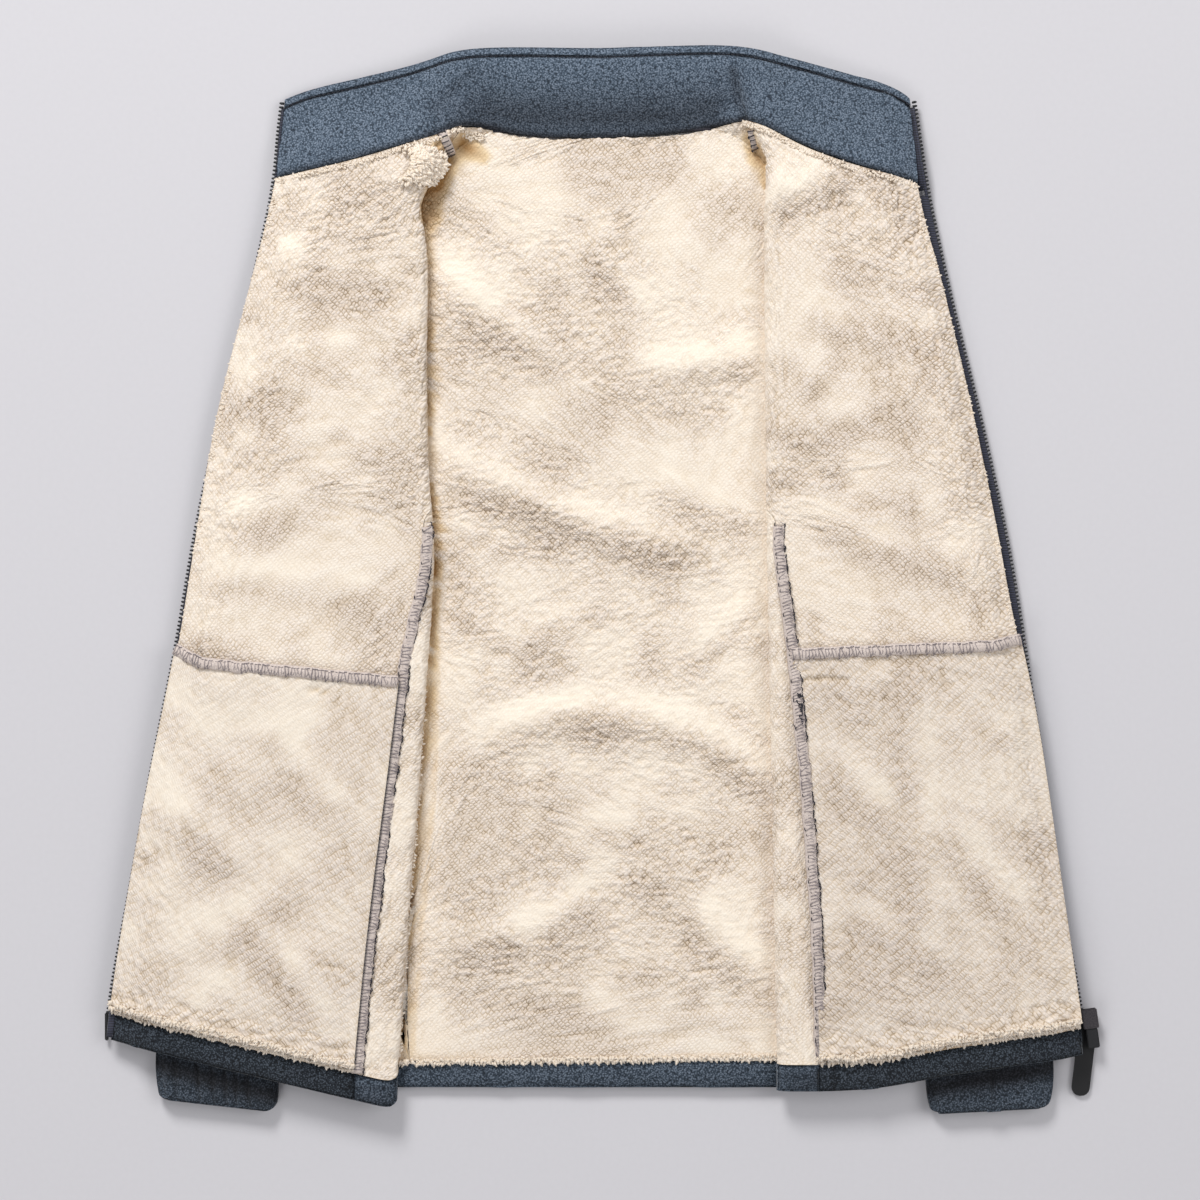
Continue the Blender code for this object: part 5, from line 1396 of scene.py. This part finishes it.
def neck_seam():
    """The lower edge of the inner collar, from end to end, in mm."""
    found = [p for panel in ("front_right", "back", "front_left")
             for p in border("collar_inner", panel, 0, 3 * MM)]
    return [(p.x / MM, p.y / MM) for p in sorted(found, key=lambda p: p.x)]


def binding_seam():
    """Where the turned-over outer collar ends on the inner one."""
    seam = border("collar_inner", "collar_outer", 0, 1.0 * MM)
    return [p for p in seam if p.y > (372 - abs(p.x) / MM * 0.09) * MM]


class JACKET_OT_pile_tips(bpy.types.Operator):
    """The tips of pile that lean over the hem, the zip, the folds and the neck seam"""
    bl_idname = "jacket.pile_tips"
    bl_label = "Pile tips"

    def execute(self, context):
        lines, sides = [], []
        for side, _ in SIDES:
            lines.append(border(f"front_{side}", f"hem_{side}", 0))
            sides.append(1)
            bag = border(f"pocket_bag_{side}", f"hem_{side}", 0, BAG_HEM_REACH)
            lines.append([p for p in bag if p.y < -280 * MM])
            sides.append(1)
        back = [p for p in border("back", "hem_back", 0) if abs(p.x) < 150 * MM and 4 * MM < p.z < 12 * MM]
        lines.append(back)
        sides.append(1)
        piece = pile_tips("pile_fringe_lower", lines, sides, seed=21)
        goes_with(piece, "pile")
        edges = [border(f"front_{side}", f"zip_chain_{side}", 1, ZIP_REACH) for side, _ in SIDES]
        piece = pile_tips("pile_fringe_zip", edges, (-1, 1), seed=23, length=0.7, back=2.1 * MM)
        goes_with(piece, "pile")
        lines, sides = [], []
        for side, _ in SIDES:
            lines.append(border(f"front_{side}", "collar_inner", 0, NECK_REACH))
            sides.append(-1)
        # a dark cord for the turned neck seam, which also stands in for the shadow under the collar: painted
        # shadow
        seam = [p - Vector((0, 0, NECK_SEAM_SHADOW_DROP)) for p in border("back", "collar_inner", 0, NECK_REACH)
                if abs(p.x) < 112 * MM]
        goes_with(one_piece("neck_seam_turning", "navy_thread", tube(even(seam, 2 * MM)[0], NECK_SEAM_SHADOW_RADIUS)),
                  "fleece")
        for patch in NECK_PATCH:
            lines.append(on_top(patch, NECK_PATCH_LIFT, ("back",)))
            sides.append(1)
        piece = pile_tips("pile_fringe_neck", lines, sides, seed=22, length=0.7, pitch=1.3 * MM)
        goes_with(piece, "pile")
        corner = [[Vector(((x - inward) * MM, y * MM, high * MM)) for x, y in SHAGGY_CORNER]
                  for inward, high in CORNER_EDGE_ROWS]
        corner += [on_top([(x - inward, y) for x, y in SHAGGY_CORNER], CORNER_LIFT)
                   for inward in CORNER_TOP_ROWS]
        piece = pile_tips("pile_fringe_corner", corner, (-1,) * len(corner), "combed_sherpa_pile", seed=24,
                          length=1.15, pitch=1.5 * MM, rows=3)
        goes_with(piece, "pile")
        fold = [Vector((x * MM, y * MM, 13.5 * MM)) for x, y in RIGHT_FOLD]
        piece = pile_tips("pile_fringe_fold", [fold], (-1,), seed=25, length=0.8, pitch=1.2 * MM, rows=3)
        goes_with(piece, "pile")
        return {"FINISHED"}


def chain_line(side):
    """The middle of a row of teeth, from its solid, in order along y."""
    rows = {}
    for vert in NODES[f"zip_chain_{side}"].data.vertices:
        rows.setdefault(round(vert.co.y / MM, 1), set()).add(tuple(round(c, 6) for c in vert.co))
    return [Vector(np.mean(list(row), axis=0)) for _, row in sorted(rows.items())]


def tooth_shape(sizes):
    """One moulded tooth: a body that grips the cord, with a narrower head on its outer side."""
    free_selection()
    bpy.ops.mesh.primitive_cube_add(size=1, location=(0, 0, 0))
    piece = bpy.context.object
    piece.scale = (2.6 * MM, sizes.tooth_width, 2.2 * MM)
    bpy.ops.object.transform_apply(location=False, rotation=False, scale=True)
    bpy.ops.object.mode_set(mode="EDIT")
    bpy.ops.mesh.select_mode(type="FACE")
    bpy.ops.mesh.select_all(action="DESELECT")
    bpy.ops.object.mode_set(mode="OBJECT")
    for face in piece.data.polygons:
        face.select = face.normal.x > 0.9
    bpy.ops.object.mode_set(mode="EDIT")
    bpy.ops.mesh.extrude_region_move(TRANSFORM_OT_translate={"value": (0.25 * MM, 0, 0)})
    bpy.ops.transform.resize(value=(1, 0.55, 0.7))
    bpy.ops.mesh.extrude_region_move(TRANSFORM_OT_translate={"value": (0.5 * MM, 0, 0)})
    bpy.ops.transform.resize(value=(1, 1.5, 0.9))
    bpy.ops.mesh.select_all(action="SELECT")
    bpy.ops.mesh.normals_make_consistent(inside=False)
    bpy.ops.object.mode_set(mode="OBJECT")
    apply_modifier(piece, "BEVEL", width=0.2 * MM, segments=1, limit_method="ANGLE")
    return shape_of(piece)


class JACKET_OT_zip(bpy.types.Operator):
    """The zip: woven tapes, cords, teeth, slider, box, pin and pull tab"""
    bl_idname = "jacket.zip"
    bl_label = "Zip"

    def execute(self, context):
        sizes = context.scene.jacket_zip
        tooth = tooth_shape(sizes)
        for side, sign in SIDES:
            piece = cloth_piece(f"zip_tape_{side}", f"zip_tape_weave_{side}", ("polyester_zip_tape",), 1, 0,
                                sides=False)
            goes_with(piece, "zip_tape", f"zip_tape_{side}")
            points, way = even(chain_line(side), sizes.pitch)
            frames = axes(way * (1 if sign > 0 else -1))
            out = frames[:, :, 0]
            row = copies(f"zip_teeth_{side}", tooth, points - out * TOOTH_INSET, frames, "black_moulded_teeth")
            goes_with(row, "zip_teeth", f"zip_chain_{side}")
            fine, fine_way = even(chain_line(side), CORD_STEP)
            inner = axes(fine_way * (1 if sign > 0 else -1))[:, :, 0]
            cord = tube(fine - inner * CORD_INSET, CORD_RADIUS)
            goes_with(one_piece(f"zip_cord_{side}", "polyester_zip_tape", cord), "zip_tape")
            end = (fine - inner * TAPE_END_INSET)[fine[:, 1] > TAPE_END_FROM] - np.array([0, 0, TAPE_END_DROP])
            end = flat_tube(end, TAPE_END_RADIUS)
            goes_with(one_piece(f"zip_tape_end_{side}", "polyester_zip_tape", end), "zip_tape")
        foot = [(x, y, top_at((x + FOOT_REACH) * MM, y * MM, "hem_right", default=0.012) / MM - FOOT_DROP)
                for x, y in TAPE_FOOT]
        foot = np.array(foot) * MM
        goes_with(one_piece("zip_tape_foot", "polyester_zip_tape", flat_tube(foot, FOOT_RADIUS)), "zip_tape")
        for node, material in (("zip_slider", "gunmetal_zinc"), ("zip_box", "black_moulded_teeth"),
                               ("zip_pin", "black_moulded_teeth"), ("zip_pull_tab", "black_rubber")):
            mesh = NODES[node].data
            for index in range(max(1, len(mesh.materials))):
                if index < len(mesh.materials):
                    mesh.materials[index] = finishes()[material]
                else:
                    mesh.materials.append(finishes()[material])
        return {"FINISHED"}


# Round soft lamps: (name, place in m, width in m, share of the main light's power)
LIGHTS = (("main_light", (-1.1, 2.9, 2.3), 1.3, 1.0), ("side_light", (2.4, 0.6, 2.6), 2.2, 0.30),
          ("low_light", (-1.6, -2.2, 2.6), 2.2, 0.24))
MIDDLE_OF_LAYERS = 0.014    # the height in m at which the picture has its stated width


class JACKET_OT_stage(bpy.types.Operator):
    """The floor, the soft lights and the camera straight above"""
    bl_idname = "jacket.stage"
    bl_label = "Stage"

    def execute(self, context):
        scene, stage = context.scene, context.scene.jacket_stage
        free_selection()
        bpy.ops.mesh.primitive_plane_add(size=9, location=(0, 0, -0.0003))
        floor = context.object
        floor.name = "floor"
        # painted board: pale, matt and nearly even, so that it only catches the soft shadows
        made, tree, shader, place = new_material("matt_floor")
        grain = add(tree, "ShaderNodeTexNoise", {"Scale": 260.0, "Detail": 2.0}, {"Vector": (place, "Object")})
        base = tuple(stage.floor_colour)
        colour = ramp_stops(add(tree, "ShaderNodeValToRGB", None, {"Fac": (grain, "Fac")}),
                            [(0.3, tuple(c * 0.985 for c in base) + (1,)), (0.7, base + (1,))])
        tree.links.new(colour.outputs["Color"], shader.inputs["Base Color"])
        shader.inputs["Roughness"].default_value = 0.9
        floor.data.materials.append(made)
        for name, place, size, power in LIGHTS:
            lamp = bpy.data.lights.new(name, "AREA")
            lamp.shape, lamp.size, lamp.energy = "DISK", size, stage.power * power
            holder = bpy.data.objects.new(name, lamp)
            holder.location = place
            holder.rotation_euler = (Vector((0, 0, 0)) - Vector(place)).to_track_quat("-Z", "Y").to_euler()
            scene.collection.objects.link(holder)
        world = bpy.data.worlds.new("pale_room")
        world.use_nodes = True
        world.node_tree.nodes["Background"].inputs["Color"].default_value = linear("#eeeff4")
        world.node_tree.nodes["Background"].inputs["Strength"].default_value = 0.40
        scene.world = world
        lens = bpy.data.cameras.new("camera")
        lens.sensor_width = 36
        lens.lens = lens.sensor_width * (stage.camera_height - MIDDLE_OF_LAYERS) / stage.view_width
        lens.clip_end = 30
        eye = bpy.data.objects.new("camera", lens)
        eye.location = (0, 0, stage.camera_height)
        scene.collection.objects.link(eye)
        scene.camera = eye
        scene.view_settings.view_transform = "Standard"
        return {"FINISHED"}


class JACKET_PT_panel(bpy.types.Panel):
    """The jacket's pieces, in the order they are made"""
    bl_idname = "JACKET_PT_panel"
    bl_label = "Fleece jacket"
    bl_space_type = "VIEW_3D"
    bl_region_type = "UI"
    bl_category = "Jacket"

    def draw(self, context):
        for group in GROUPS:
            box = self.layout.box()
            settings = getattr(context.scene, GROUPS[group])
            for key in group.__annotations__:
                box.prop(settings, key)
        for operator in STEPS:
            self.layout.operator(operator.bl_idname)


GROUPS = {JacketPile: "jacket_pile", JacketFleece: "jacket_fleece", JacketStitching: "jacket_stitching",
          JacketZip: "jacket_zip", JacketStage: "jacket_stage"}
STEPS = (JACKET_OT_back, JACKET_OT_fronts, JACKET_OT_pocket_bags, JACKET_OT_sleeves, JACKET_OT_collar,
         JACKET_OT_hem, JACKET_OT_overlock, JACKET_OT_stitching, JACKET_OT_pile_tips, JACKET_OT_zip,
         JACKET_OT_stage)


def register():
    """Registers the settings, the operators and the panel."""
    for group, name in GROUPS.items():
        bpy.utils.register_class(group)
        setattr(bpy.types.Scene, name, PointerProperty(type=group))
    for operator in STEPS:
        bpy.utils.register_class(operator)
    bpy.utils.register_class(JACKET_PT_panel)


def unregister():
    """Takes them away again, in the opposite order."""
    bpy.utils.unregister_class(JACKET_PT_panel)
    for operator in reversed(STEPS):
        bpy.utils.unregister_class(operator)
    for group, name in GROUPS.items():
        delattr(bpy.types.Scene, name)
        bpy.utils.unregister_class(group)


def main():
    """Makes every piece and the stage."""
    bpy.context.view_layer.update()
    register()
    for operator in STEPS:
        group, name = operator.bl_idname.split(".")
        getattr(getattr(bpy.ops, group), name)()
    free_selection()


if __name__ == "__main__":
    main()
